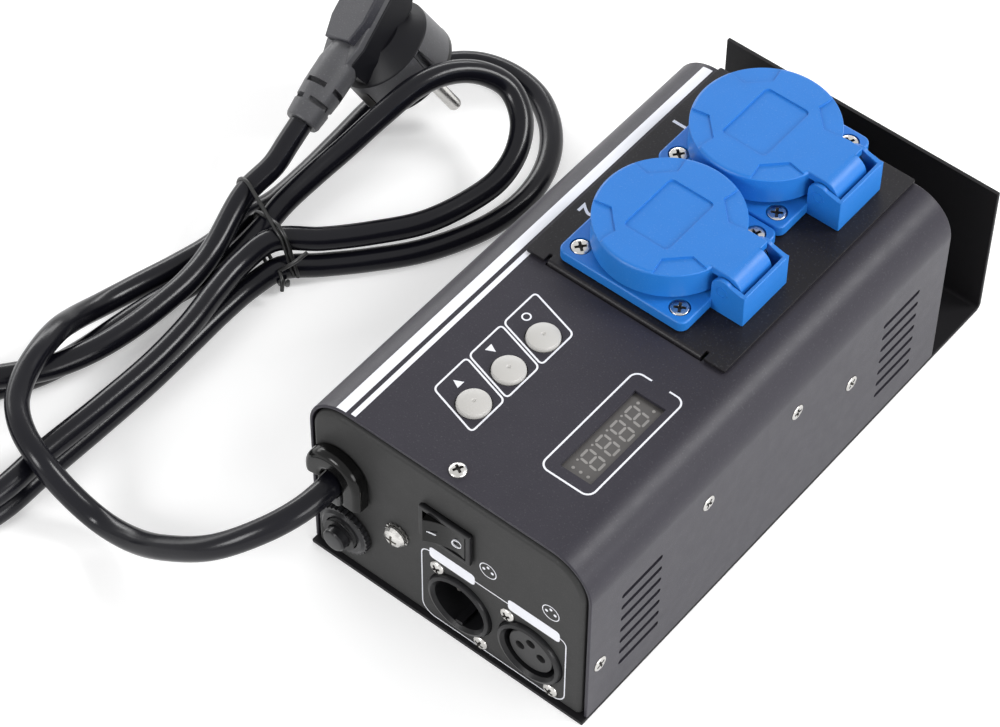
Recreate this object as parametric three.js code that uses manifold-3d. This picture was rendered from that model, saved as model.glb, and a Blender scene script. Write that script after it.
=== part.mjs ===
// Two-channel stage dimmer pack with its folded mains cord.
// Millimetres, +Z up. X runs across the front panel, Y runs back from it, and the front faces -Y.
import * as THREE from "three";
import { mergeVertices } from "three/addons/utils/BufferGeometryUtils.js";
import Module from "manifold-3d";

const wasm = await Module();
wasm.setup();

// Driving dimensions of the sheet-metal housing.
const FIT = 0.3;
const SHEET = 1.2;
const COVER = { halfWidth: 54, bottom: 1.8, top: 75, length: 182.3, bend: 15 };
const PLATE = { thickness: 1.3, front: -2, rear: 210.5, flangeTop: 57, clampHole: 5.25, clampHeight: 32 };
const PANEL = { face: -0.8, edgeGap: 0.7, topGap: 2.2, bottom: 1.6, returnDepth: 8, roll: 1.6 };
const VENT = { rows: 7, lowest: 14, pitch: 5.75, height: 2, groups: [[15, 34.6], [147.5, 167]] };
const OUTLET_PLATE = { left: -37.7, right: 38.5, front: 83, top: 76.6, thickness: 1.3, tab: 29.4, notch: 1.2 };

// Driving dimensions of what the front panel carries.
const CABLE = { radius: 4.1, x: -41, z: 44.5 };
const BUSHING = { x: -41, z: 46.8, radius: 11, face: -6.3, barrel: 8.4, bore: 4.4 };
const BREAKER = { x: -39.4, z: 19.1, nut: 9.5, nutFace: -3.8, neck: 5.9, neckFace: -5.2, button: 4.1, buttonFace: -8.4 };
const EARTH = { x: -18.8, z: 33.8, head: 3.9, washer: 4.5, shank: 1.9 };
const ROCKER = { x: 0.85, z: 51.65, halfWidth: 9.95, halfHeight: 7.15, bezelFace: -2.8, pivotY: 0.4, tilt: 11 };
const SIGNAL = { z: 18.3, lip: 12.1, lipFace: -2.5, bore: 9.7, barrel: 11, depth: 20, insert: 8.4, pinCircle: 5.6 };
const SIGNAL_X = { in: 5.5, out: 32.7 };

// Driving dimensions of the controls and of the mains outlets on the top.
const BUTTON = { x: -12.1, first: 26.9, pitch: 16.45, radius: 5.4, crown: 77, stop: 6.5, plunger: 1.6 };
const DISPLAY = { x0: 21.5, x1: 33.1, y0: 25.6, y1: 61.5 };
const BOARD_TOP = 61.6;
const OUTLET = { x: -3.8, ys: [110.2, 159.4], base: 76.9, halfFlange: 24.3, flange: 4.3, collarTop: 5.3, well: 19.3, barrel: 20.3, wellFloor: -9.7 };
const STRAP = { halfLength: 19.2, halfWidth: 3, groove: 3.3, thickness: 0.7, depth: 1.2, height: 12.7, bulge: 1.4 };
const HINGE = { x: 27.8, z: 9.5, pin: 1.5, y0: -10.2, y1: 12.4, cheek: 1.6, wall: 34.7, outer: 36.1 };
const LID = { radius: 24, bottom: 5.6, top: 16.1, wall: 1.8, ceiling: 2.2, knuckle: 6, tongue: 9.5 };

// Driving dimensions of the mains plug, in its own frame: Y runs from the cable to the head, -Z to the pins.
const PLUG = { faceRadius: 18.3, skirt: 17, back: 35, pin: 2.4, pinReach: 19, pinPitch: 19, bootAxis: 25.9, bootEnd: -39.8 };
const PLUG_FACE_CENTRE = new THREE.Vector3(-148, 156.5, 22.2);
const PLUG_HEADING = new THREE.Vector3(-0.085, 0.929, 0.361).normalize();
const PLUG_PINS = new THREE.Vector3(0.414, 0.362, -0.835).normalize();

// Turns a geometry into a solid: shared corners are merged, flat triangles dropped, faces turned out.
function solid(geometry) {
  const bare = new THREE.BufferGeometry().setAttribute("position", geometry.getAttribute("position"));
  bare.setIndex(geometry.index);
  const merged = mergeVertices(bare, 1e-3);
  const corners = merged.index.array;
  const kept = [];
  for (let i = 0; i < corners.length; i += 3) {
    const [a, b, c] = corners.subarray(i, i + 3);
    if (a !== b && b !== c && c !== a) kept.push(a, b, c);
  }
  const make = (triangles) =>
    new wasm.Manifold(
      new wasm.Mesh({
        numProp: 3,
        vertProperties: merged.getAttribute("position").array,
        triVerts: new Uint32Array(triangles),
      }),
    );
  const made = make(kept);
  return made.volume() > 0 ? made : make(kept.reverse());
}

// Joins any number of geometries or solids into one solid.
function join(...pieces) {
  return pieces.map(asSolid).reduce((whole, piece) => whole.add(piece));
}

// Cuts each of the later pieces out of the first.
function cut(body, ...tools) {
  return tools.map(asSolid).reduce((rest, tool) => rest.subtract(tool), asSolid(body));
}

function asSolid(piece) {
  return piece.isBufferGeometry ? solid(piece) : piece;
}

// A named mesh with its own material, from a geometry or a solid.
function piece(name, body, color, roughness, metalness) {
  const mesh = asSolid(body).getMesh();
  const geometry = new THREE.BufferGeometry();
  geometry.setAttribute("position", new THREE.BufferAttribute(new Float32Array(mesh.vertProperties), 3));
  geometry.setIndex(new THREE.BufferAttribute(new Uint32Array(mesh.triVerts), 1));
  geometry.computeVertexNormals();
  const made = new THREE.Mesh(geometry, new THREE.MeshStandardMaterial({ color, roughness, metalness }));
  made.name = name;
  return made;
}

function group(...children) {
  return new THREE.Group().add(...children);
}

// A block between two opposite corners.
function block(x0, x1, y0, y1, z0, z1) {
  return new THREE.BoxGeometry(x1 - x0, y1 - y0, z1 - z0).translate((x0 + x1) / 2, (y0 + y1) / 2, (z0 + z1) / 2);
}

// A round bar along one axis, from one coordinate on it to another, centred on the other two.
function bar(axis, radius, u, v, from, to, sides = 32) {
  const made = new THREE.CylinderGeometry(radius, radius, to - from, sides);
  const middle = (from + to) / 2;
  if (axis === "x") return made.rotateZ(Math.PI / 2).translate(middle, u, v);
  if (axis === "y") return made.translate(u, middle, v);
  return made.rotateX(Math.PI / 2).translate(u, v, middle);
}

// A flat outline pushed along an axis. Outlines for x are drawn in (y, z), for y in (x, z), for z in (x, y).
function prism(axis, shape, from, to, options = {}) {
  const made = new THREE.ExtrudeGeometry(shape, { depth: to - from, bevelEnabled: false, curveSegments: 8, ...options });
  if (axis === "z") return made.translate(0, 0, from);
  if (axis === "y") return made.rotateX(Math.PI / 2).translate(0, to, 0);
  const [x, y, z] = [0, 1, 2].map((i) => new THREE.Vector3().setComponent(i, 1));
  return made.applyMatrix4(new THREE.Matrix4().makeBasis(y, z, x)).translate(from, 0, 0);
}

// A profile of [radius, height] corners turned about an axis through (u, v).
function turned(axis, profile, u, v, sides = 32) {
  const made = new THREE.LatheGeometry(profile.map(([r, h]) => new THREE.Vector2(r, h)), sides);
  if (axis === "y") return made.translate(u, 0, v);
  return made.rotateX(Math.PI / 2).translate(u, v, 0);
}

function outline(points) {
  return new THREE.Shape(points.map(([u, v]) => new THREE.Vector2(u, v)));
}

// A rectangle with rounded corners; the upper two may have their own radius.
function roundedRect(u0, u1, v0, v1, radius, upper = radius) {
  const shape = new THREE.Shape();
  shape.moveTo(u0 + radius, v0);
  shape.lineTo(u1 - radius, v0);
  shape.absarc(u1 - radius, v0 + radius, radius, -Math.PI / 2, 0);
  shape.lineTo(u1, v1 - upper);
  shape.absarc(u1 - upper, v1 - upper, upper, 0, Math.PI / 2);
  shape.lineTo(u0 + upper, v1);
  shape.absarc(u0 + upper, v1 - upper, upper, Math.PI / 2, Math.PI);
  shape.lineTo(u0, v0 + radius);
  shape.absarc(u0 + radius, v0 + radius, radius, Math.PI, Math.PI * 1.5);
  return shape;
}

function radians(degrees) {
  return (degrees * Math.PI) / 180;
}

// Housing: bracket, tray, cover and outlet plate.
function mountingBracket() {
  const { thickness, front, rear, flangeTop, clampHole, clampHeight } = PLATE;
  const outer = 2 * thickness;
  const shape = new THREE.Shape();
  shape.moveTo(front, 0);
  shape.lineTo(rear - outer, 0);
  shape.absarc(rear - outer, outer, outer, -Math.PI / 2, 0);
  shape.lineTo(rear, flangeTop);
  shape.lineTo(rear - thickness, flangeTop);
  shape.lineTo(rear - thickness, outer);
  shape.absarc(rear - outer, outer, thickness, 0, -Math.PI / 2, true);
  shape.lineTo(front, thickness);
  const body = prism("x", shape, -COVER.halfWidth, COVER.halfWidth);
  const hole = bar("y", clampHole, 0, clampHeight, rear - 2 * thickness, rear + thickness);
  return piece("mounting_bracket", cut(body, hole), 0x2b2b2e, 0.6, 0.35);
}

// One end of the tray: a panel whose edges are bent back by a small roll.
function endPan(faceY, inward) {
  const half = COVER.halfWidth - SHEET - PANEL.edgeGap;
  const top = COVER.top - PANEL.topGap;
  const corner = COVER.bend - PANEL.topGap;
  const rim = { bevelEnabled: true, bevelThickness: PANEL.roll, bevelSize: PANEL.roll, bevelOffset: -PANEL.roll, bevelSegments: 2, curveSegments: 4 };
  const length = PANEL.returnDepth + PANEL.roll;
  const from = inward > 0 ? faceY + PANEL.roll : faceY - length;
  const skin = prism("y", roundedRect(-half, half, PANEL.bottom, top, 2, corner), from, from + length - PANEL.roll, rim);
  const inner = roundedRect(-half + SHEET, half - SHEET, PANEL.bottom + SHEET, top - SHEET, 1, corner - SHEET);
  const pocketStart = faceY + inward * SHEET;
  const pocketEnd = faceY + inward * (length + 2 * PANEL.roll);
  const pocket = prism("y", inner, Math.min(pocketStart, pocketEnd), Math.max(pocketStart, pocketEnd), { curveSegments: 4 });
  const edge = faceY + inward * PANEL.returnDepth;
  const beyond = faceY + inward * 2 * length;
  const waste = block(-half - 1, half + 1, Math.min(edge, beyond), Math.max(edge, beyond), 0, COVER.top);
  return cut(skin, pocket, waste);
}

function chassis() {
  const half = COVER.halfWidth - SHEET - PANEL.edgeGap;
  const rearFace = COVER.length + PANEL.face;
  const floor = block(-half + 2, half - 2, 3, rearFace - 3, PANEL.bottom, PANEL.bottom + SHEET);
  const pans = join(endPan(PANEL.face, 1), endPan(rearFace, -1), floor);
  const posts = [-1, 1].flatMap((side) =>
    [44, 162].map((y) => bar("z", 3, side * 36, y, PANEL.bottom + SHEET / 2, 8.7, 8)),
  );
  const behind = [PANEL.face - 1, PANEL.face + SHEET + 1];
  const holes = [
    bar("y", BUSHING.barrel + FIT, BUSHING.x, BUSHING.z, ...behind, 24),
    bar("y", BREAKER.neck + FIT, BREAKER.x, BREAKER.z, ...behind, 20),
    bar("y", EARTH.shank + FIT, EARTH.x, EARTH.z, ...behind, 10),
    ...Object.values(SIGNAL_X).map((x) => bar("y", SIGNAL.lip + FIT, x, SIGNAL.z, ...behind, 28)),
    bar("z", OUTLET.barrel + 0.5, OUTLET.x, OUTLET.ys[1], COVER.top - 10, COVER.top, 32),
    block(ROCKER.x - 9.3, ROCKER.x + 9.3, ...behind, ROCKER.z - 6.6, ROCKER.z + 6.6),
  ];
  return piece("chassis", cut(join(pans, ...posts), ...holes), 0x3a3a3d, 0.55, 0.3);
}

function ventSlots() {
  const slots = [];
  for (const side of [-1, 1]) {
    for (const [y0, y1] of VENT.groups) {
      for (let row = 0; row < VENT.rows; row++) {
        const z = VENT.lowest + row * VENT.pitch;
        const shape = roundedRect(y0, y1, z - VENT.height / 2, z + VENT.height / 2, VENT.height / 2 - 0.01);
        const wall = [side * (COVER.halfWidth - 2 * SHEET), side * (COVER.halfWidth + SHEET)].sort((a, b) => a - b);
        slots.push(prism("x", shape, ...wall, { curveSegments: 1 }));
      }
    }
  }
  return slots;
}

function topCover() {
  const { halfWidth, bottom, top, length, bend } = COVER;
  const shape = new THREE.Shape();
  shape.moveTo(-halfWidth, bottom);
  shape.lineTo(-halfWidth, top - bend);
  shape.absarc(-halfWidth + bend, top - bend, bend, Math.PI, Math.PI / 2, true);
  shape.lineTo(halfWidth - bend, top);
  shape.absarc(halfWidth - bend, top - bend, bend, Math.PI / 2, 0, true);
  shape.lineTo(halfWidth, bottom);
  shape.lineTo(halfWidth - SHEET, bottom);
  shape.lineTo(halfWidth - SHEET, top - bend);
  shape.absarc(halfWidth - bend, top - bend, bend - SHEET, 0, Math.PI / 2);
  shape.lineTo(-halfWidth + bend, top - SHEET);
  shape.absarc(-halfWidth + bend, top - bend, bend - SHEET, Math.PI / 2, Math.PI);
  shape.lineTo(-halfWidth + SHEET, bottom);
  const through = [top - 2 * SHEET, top + SHEET];
  const tabReach = OUTLET_PLATE.tab + 2 * FIT;
  const holes = [
    block(DISPLAY.x0, DISPLAY.x1, DISPLAY.y0, DISPLAY.y1, ...through),
    block(-tabReach, tabReach, OUTLET_PLATE.front - FIT, length - 2, ...through),
    ...buttonCentres().map((y) => bar("z", BUTTON.radius + 0.4, BUTTON.x, y, ...through, 24)),
  ];
  return piece("top_cover", cut(prism("y", shape, 0, length, { curveSegments: 6 }), ...ventSlots(), ...holes), 0x3d3c44, 0.5, 0.35);
}

function outletPlate() {
  const { left, right, front, top, thickness, tab, notch } = OUTLET_PLATE;
  const bottom = top - thickness;
  const sheet = prism("z", roundedRect(left, right, front, COVER.length, 0.8), bottom, top, { curveSegments: 2 });
  const lipShape = new THREE.Shape();
  lipShape.moveTo(front + thickness, top);
  lipShape.absarc(front + thickness, bottom, thickness, Math.PI / 2, Math.PI);
  lipShape.lineTo(front, bottom - 7);
  lipShape.lineTo(front + thickness, bottom - 7);
  const lip = prism("x", lipShape, -tab, tab);
  const corner = block(-tab - notch, tab + notch, front - 1, front + thickness, bottom - 1, top + 1);
  const notches = [-1, 1].map((side) => {
    const edges = [side * tab, side * (tab + notch)].sort((a, b) => a - b);
    return block(...edges, front - 1, front + 3.2, bottom - 1, top + 1);
  });
  const wells = OUTLET.ys.map((y) => bar("z", OUTLET.barrel + 0.5, OUTLET.x, y, bottom - 1, top + 1, 32));
  return piece("outlet_plate", join(cut(sheet, corner, ...notches, ...wells), lip), 0x2a2a2e, 0.5, 0.35);
}

// Mains outlets: socket body, earth strap, hinge pin, spring and lid, built round the flange's centre.
function socketBody(name) {
  const { halfFlange, flange, collarTop, well, barrel, wellFloor } = OUTLET;
  const soft = { bevelEnabled: true, bevelThickness: 0.6, bevelSize: 0.6, bevelOffset: -0.6, bevelSegments: 1, curveSegments: 4 };
  const plate = prism("z", roundedRect(-halfFlange, halfFlange, -halfFlange, halfFlange, 3), 0.6, flange - 0.6, soft);
  const collar = bar("z", well + 2.9, 0, 0, flange - 1, collarTop, 32);
  const cup = bar("z", barrel, 0, 0, wellFloor - 18, 1, 32);
  const box = block(halfFlange - 1, HINGE.outer, HINGE.y0, HINGE.y1, 0, 1.5);
  const wall = block(HINGE.wall, HINGE.outer, HINGE.y0, HINGE.y1, 0, 12.6);
  const cheekShape = outline([
    [halfFlange - 1, 0],
    [HINGE.outer, 0],
    [HINGE.outer, 12.6],
    [HINGE.x + 3.4, 14.4],
    [HINGE.x - 2.4, 13.9],
    [halfFlange + 0.1, 12.6],
    [halfFlange + 0.1, 4],
    [halfFlange - 1, 4],
  ]);
  const cheeks = [HINGE.y0, HINGE.y1 - HINGE.cheek].map((y) => prism("y", cheekShape, y, y + HINGE.cheek));
  const tools = [
    bar("z", well, 0, 0, wellFloor, collarTop + 1, 32),
    block(-STRAP.halfLength, STRAP.halfLength, -STRAP.groove, STRAP.groove, wellFloor - STRAP.depth, wellFloor + 1),
    bar("y", HINGE.pin + FIT, HINGE.x, HINGE.z, HINGE.y0 - 1, HINGE.y1 + 1, 16),
    ...[-1, 1].map((side) => bar("z", 2.75, 0, (side * PLUG.pinPitch) / 2, wellFloor - 14, wellFloor + 1, 12)),
    ...[-1, 1].flatMap((sx) => [-1, 1].map((sy) => bar("z", 2.1, sx * 19, sy * 19, -1, flange + 1, 8))),
  ];
  return piece(name, cut(join(plate, collar, cup, box, wall, ...cheeks), ...tools), 0x2f7fd0, 0.38, 0);
}

// A springy strip laid in the well floor's groove, whose two ends bulge inwards and press on the plug's earth contacts.
function earthStrap(name) {
  const { halfWidth, thickness, depth, height, bulge } = STRAP;
  const reach = OUTLET.well - FIT;
  const low = OUTLET.wellFloor - depth + FIT;
  const side = [[reach, low], [reach, low + 3], [reach - bulge, low + 8], [reach, low + height]];
  const inner = side.map(([u, v]) => [u - thickness, Math.max(v, low + thickness)]);
  const right = [...side, ...inner.reverse()];
  const left = right.map(([u, v]) => [-u, v]).reverse();
  return piece(name, prism("y", outline([...right, ...left]), -halfWidth, halfWidth), 0xc9b27a, 0.35, 0.9);
}

function hingePin(name) {
  return piece(name, bar("y", HINGE.pin, HINGE.x, HINGE.z, HINGE.y0 + 0.2, HINGE.y1 - 0.2, 16), 0xb9bcc0, 0.3, 0.95);
}

// A torsion spring's turns round the hinge pin, with one leg laid on the hinge box's floor.
class SpringWire extends THREE.Curve {
  getPoint(t) {
    const turns = 2.5;
    const radius = 2.45;
    const pitch = 1.05;
    const legShare = 0.16;
    const along = Math.max(t - legShare, 0) / (1 - legShare);
    const angle = Math.PI + along * turns * 2 * Math.PI;
    const drop = (Math.max(legShare - t, 0) / legShare) * 4.2;
    const y = LID.tongue - 0.9 - (turns * pitch) + along * turns * pitch + 1.4;
    return new THREE.Vector3(HINGE.x + radius * Math.cos(angle), y, HINGE.z - drop + radius * Math.sin(angle));
  }
}

function lidSpring(name) {
  const wire = new THREE.Shape().absarc(0, 0, 0.3, 0, 2 * Math.PI);
  const made = new THREE.ExtrudeGeometry(wire, { steps: 26, curveSegments: 3, extrudePath: new SpringWire() });
  return piece(name, made, 0xb9bcc0, 0.3, 0.95);
}

// The lid: a hollow round cap, and a tongue that curls over the hinge pin.
function lid(name) {
  const { radius, bottom, top, wall, ceiling, knuckle } = LID;
  const profile = [[0, bottom], [radius, bottom], [radius, top - 1.4], [radius - 0.5, top - 0.4], [radius - 1.4, top], [0, top]];
  const disc = turned("z", profile, 0, 0, 36);
  const hollow = bar("z", radius - wall, 0, 0, bottom - 1, top - ceiling, 32);
  const knuckleY = [HINGE.y0 + HINGE.cheek + FIT, LID.tongue - 2.6];
  const tongueShape = new THREE.Shape();
  tongueShape.moveTo(radius - 6, top - 3);
  tongueShape.lineTo(HINGE.x - 3.3, top - 3);
  tongueShape.lineTo(HINGE.x - 3.3, HINGE.z);
  tongueShape.absarc(HINGE.x, HINGE.z, 3.3, Math.PI, radians(-40));
  tongueShape.absarc(HINGE.x, HINGE.z, knuckle, radians(-40), radians(90));
  tongueShape.lineTo(radius - 6, top - 0.6);
  const tongue = prism("y", tongueShape, ...knuckleY, { curveSegments: 8 });
  const pinHole = bar("y", HINGE.pin + FIT, HINGE.x, HINGE.z, HINGE.y0, HINGE.y1, 16);
  const recess = block(-8.6, 8.1, -12.1, 12.1, top - 0.5, top + 1);
  const body = cut(join(cut(disc, hollow), cut(tongue, hollow, pinHole)), recess);
  return piece(name, body, 0x2f7fd0, 0.38, 0);
}

function outlets() {
  return group(
    ...OUTLET.ys.map((y, i) => {
      const place = ["front", "rear"][i];
      const made = group(
        socketBody("socket_" + place),
        earthStrap("earth_strap_" + place),
        hingePin("hinge_pin_" + place),
        lidSpring("lid_spring_" + place),
        lid("lid_" + place),
      );
      made.position.set(OUTLET.x, y, OUTLET.base);
      return made;
    }),
  );
}

// Front panel: three-pin signal inlet and outlet.
function signalShell(name, x, keyed) {
  const { z, lip, lipFace, bore, barrel, depth } = SIGNAL;
  const flange = prism("y", roundedRect(x - 12.9, x + 12.9, z - 14.7, z + 14.7, 2), 0.7, 2.9, { curveSegments: 3 });
  const parts = [bar("y", lip, x, z, lipFace, 1.5, 28), flange, bar("y", barrel, x, z, 1.5, depth, 20)];
  const hollow = bar("y", bore, x, z, lipFace - 1, depth - 4, 28);
  const holes = [[-8.3, 12.2], [8.3, -12.2]].map(([u, v]) => bar("y", 1.4, x + u, z + v, 0, 4, 8));
  const body = cut(join(...parts), hollow, ...holes);
  const key = block(x - 1.3, x + 1.3, lipFace + 2, depth - 4, z - bore - 0.5, z - bore + 1.6);
  return piece(name, keyed ? join(body, key) : body, 0x1d1d1f, 0.5, 0.1);
}

function contactPlaces(x) {
  return [[-0.87, 0.5], [0.87, 0.5], [0, -1]].map(([u, v]) => [x + u * SIGNAL.pinCircle, SIGNAL.z + v * SIGNAL.pinCircle]);
}

function signalInletInsert() {
  const { z, bore, depth } = SIGNAL;
  const x = SIGNAL_X.in;
  const disc = bar("y", bore - FIT, x, z, 10.5, depth - 4 - FIT, 32);
  const keyway = block(x - 1.7, x + 1.7, 9, depth, z - bore - 1, z - bore + 2);
  const pins = contactPlaces(x).map(([u, v]) => bar("y", 1.2, u, v, 0.8, 11, 12));
  return piece("signal_in_insert", join(cut(disc, keyway), ...pins), 0x9a9a98, 0.35, 0.6);
}

function signalOutletInsert() {
  const { z, insert, depth } = SIGNAL;
  const x = SIGNAL_X.out;
  const profile = [[0, -1.2], [insert - 0.8, -1.2], [insert, -0.4], [insert, depth - 4 - FIT], [0, depth - 4 - FIT]];
  const sleeves = contactPlaces(x).map(([u, v]) => bar("y", 1.6, u, v, -2, 9, 10));
  return piece("signal_out_insert", cut(turned("y", profile, x, z, 24), ...sleeves), 0x1a1a1c, 0.45, 0);
}

// Front panel: cable bushing with its clamping jaw.
function strainRelief() {
  const { x, z, radius, face, barrel, bore } = BUSHING;
  const seat = PANEL.face - FIT;
  const profile = [
    [0, face + 0.3],
    [7.6, face],
    [8.9, face + 0.7],
    [9.6, face + 2.4],
    [radius, seat - 1.4],
    [radius, seat],
    [barrel, seat],
    [barrel, 9],
    [barrel - 1.5, 11],
    [0, 11],
  ];
  const body = turned("y", profile, x, z, 24);
  const entry = bar("y", bore, CABLE.x, CABLE.z, face - 1, PANEL.face, 24);
  const mouth = block(x - 6.6, x + 0.4, face - 1, face + 3.4, z - 13, CABLE.z);
  return piece("strain_relief", cut(body, entry, mouth), 0x1c1c1e, 0.5, 0);
}

function strainReliefJaw() {
  const { x, z, face } = BUSHING;
  const wedge = outline([[x - 6.2, z - 9.2], [x, z - 9.2], [x, CABLE.z - 4.6], [x - 4, CABLE.z - 3.9], [x - 6.2, CABLE.z - 2.4]]);
  const away = bar("y", BUSHING.bore + 0.1, CABLE.x, CABLE.z, face - 2, face + 5, 24);
  return piece("strain_relief_jaw", cut(prism("y", wedge, face - 0.2, face + 3.1), away), 0x55565a, 0.5, 0);
}

// Front panel: resettable breaker.
function breakerBody() {
  const { x, z, nutFace, neck, neckFace, button } = BREAKER;
  const back = PANEL.face + SHEET + FIT;
  const shell = prism("y", roundedRect(x - 8, x + 8, z - 8.5, z + 8.5, 2), back, 30, { curveSegments: 3 });
  const threads = [];
  for (let y = neckFace; y < nutFace; y += 0.7) threads.push([neck, y], [neck - 0.35, y + 0.35]);
  const screw = turned("y", [[0, neckFace], ...threads, [neck, nutFace + 0.2], [neck, back + 1], [0, back + 1]], x, z, 20);
  const blades = [-1, 1].map((side) => block(x + side * 4 - 0.4, x + side * 4 + 0.4, 29, 37, z - 3, z + 3));
  return piece("breaker_body", cut(join(shell, screw, ...blades), bar("y", button + FIT, x, z, neckFace - 1, 6.5, 20)), 0x1c1c1e, 0.5, 0);
}

function breakerNut() {
  const { x, z, nut, nutFace, neck } = BREAKER;
  const shape = new THREE.Shape();
  const teeth = 24;
  for (let i = 0; i < 2 * teeth; i++) {
    const angle = (i * Math.PI) / teeth;
    const r = nut - (i % 2) * 0.5;
    const corner = [x + r * Math.cos(angle), z + r * Math.sin(angle)];
    if (i === 0) shape.moveTo(...corner);
    else shape.lineTo(...corner);
  }
  const ring = prism("y", shape, nutFace + 0.7, PANEL.face - FIT);
  const crown = turned("y", [[0, nutFace], [nut - 1.5, nutFace], [nut - 0.6, nutFace + 0.9], [0, nutFace + 0.9]], x, z, 24);
  return piece("breaker_nut", cut(join(ring, crown), bar("y", neck + FIT, x, z, nutFace - 1, 1, 20)), 0x1e1e20, 0.45, 0.1);
}

function breakerButton() {
  const { x, z, button, buttonFace } = BREAKER;
  const profile = [[0, buttonFace], [button - 0.7, buttonFace], [button, buttonFace + 0.7], [button, 5], [0, 5]];
  return piece("breaker_button", turned("y", profile, x, z, 24), 0x202022, 0.4, 0);
}

// Front panel: earth terminal, with a cross recess in the screw and a toothed washer.
function crossRecess(x, y0, y1, z, reach, width) {
  return join(
    block(x - reach, x + reach, y0, y1, z - width / 2, z + width / 2),
    block(x - width / 2, x + width / 2, y0, y1, z - reach, z + reach),
  );
}

function earthTerminal() {
  const { x, z, head, washer, shank } = EARTH;
  const seat = PANEL.face - FIT;
  const shape = new THREE.Shape();
  const teeth = 14;
  for (let i = 0; i < 2 * teeth; i++) {
    const angle = (i * Math.PI) / teeth;
    const r = washer - (i % 2) * 0.8;
    const corner = [x + r * Math.cos(angle), z + r * Math.sin(angle)];
    if (i === 0) shape.moveTo(...corner);
    else shape.lineTo(...corner);
  }
  const disc = cut(prism("y", shape, seat - 0.6, seat), bar("y", shank + FIT, x, z, seat - 2, seat + 1, 16));
  const under = seat - 0.6 - FIT;
  const profile = [
    [0, under - 2.6],
    [1.8, under - 2.5],
    [3.2, under - 1.8],
    [head, under - 0.7],
    [head, under],
    [shank, under],
    [shank, 7],
    [0, 7],
  ];
  const screw = cut(turned("y", profile, x, z, 18), crossRecess(x, under - 4, under - 1.2, z, 2.1, 0.9));
  const hexagon = outline([0, 1, 2, 3, 4, 5].map((i) => [x + 3.7 * Math.cos(radians(60 * i)), z + 3.7 * Math.sin(radians(60 * i))]));
  const back = PANEL.face + SHEET + FIT;
  const nut = cut(prism("y", hexagon, back, back + 2.4), bar("y", shank + FIT, x, z, back - 1, back + 4, 16));
  return group(
    piece("earth_washer", disc, 0xb4b6b8, 0.35, 0.9),
    piece("earth_screw", screw, 0xc4c6c8, 0.3, 0.95),
    piece("earth_nut", nut, 0xb4b6b8, 0.35, 0.9),
  );
}

// Front panel: rocker switch, at rest with its left side out.
function rockerHousing() {
  const { x, z, halfWidth, halfHeight, bezelFace } = ROCKER;
  const seat = PANEL.face - FIT;
  const bezel = prism("y", roundedRect(x - halfWidth, x + halfWidth, z - halfHeight, z + halfHeight, 1.2), bezelFace, seat, { curveSegments: 3 });
  const shell = block(x - 9, x + 9, seat - 0.5, 15, z - 6.3, z + 6.3);
  const mouth = block(x - 8.3, x + 8.3, bezelFace - 1, 8, z - 5.6, z + 5.6);
  const blades = [-5, 1, 7].map((u) => block(x + u - 0.4, x + u + 0.4, 14, 22, z - 2.4, z + 2.4));
  return piece("rocker_housing", cut(join(bezel, shell, ...blades), mouth), 0x1b1b1d, 0.4, 0);
}

function rocker() {
  const paddle = outline([[-7.2, -4.6], [0, -3.2], [7.2, -4.6], [7.2, -1], [3.5, 4.5], [-3.5, 4.5], [-7.2, -1]]);
  const made = piece("rocker", prism("z", paddle, -5.3, 5.3), 0x161618, 0.3, 0);
  made.position.set(ROCKER.x, ROCKER.pivotY, ROCKER.z);
  made.rotation.z = radians(ROCKER.tilt);
  return made;
}

// Controls under the top: buttons with their plungers, tactile switches, display and board.
function buttonCentres() {
  return [0, 1, 2].map((i) => BUTTON.first + i * BUTTON.pitch);
}

function pushButton(name, y) {
  const { x, radius, crown, stop, plunger } = BUTTON;
  const under = COVER.top - SHEET - FIT;
  const profile = [
    [0, crown - 0.5],
    [1.6, crown - 0.25],
    [2.4, crown],
    [radius - 1.2, crown - 0.3],
    [radius, crown - 1.2],
    [radius, under],
    [stop, under],
    [stop, under - 1.3],
    [plunger, under - 1.3],
    [plunger, 66],
    [0, 66],
  ];
  return piece(name, turned("z", profile, x, y, 16), 0xc9c8c6, 0.35, 0.2);
}

function tactileSwitch(name, y) {
  const bottom = BOARD_TOP + FIT;
  const shell = block(BUTTON.x - 3.1, BUTTON.x + 3.1, y - 3.1, y + 3.1, bottom, 66.4);
  return piece(name, cut(shell, bar("z", BUTTON.plunger + FIT, BUTTON.x, y, 64.9, 67, 16)), 0x222224, 0.5, 0);
}

function display() {
  const { x0, x1, y0, y1 } = DISPLAY;
  const top = COVER.top;
  const pane = prism("z", roundedRect(x0 + FIT, x1 - FIT, y0 + FIT, y1 - FIT, 0.4), top - 2, top - 0.2, { curveSegments: 2 });
  const rim = block(x0 - 2, x1 + 2, y0 - 2, y1 + 2, top - 3.2, top - SHEET - FIT);
  const digits = block(x0 - 1, x1 + 1, y0 - 1, y1 + 1, BOARD_TOP + FIT, top - 3.2 - FIT);
  return group(piece("display_window", join(pane, rim), 0x77756f, 0.15, 0), piece("display_module", digits, 0x3c3b39, 0.6, 0));
}

function controls() {
  const board = block(-24, 38, 15, 73, BOARD_TOP - 1.6, BOARD_TOP);
  return group(
    ...buttonCentres().flatMap((y, i) => [pushButton("button_" + (i + 1), y), tactileSwitch("tactile_switch_" + (i + 1), y)]),
    display(),
    piece("control_board", board, 0x2c5a34, 0.5, 0),
  );
}

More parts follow.
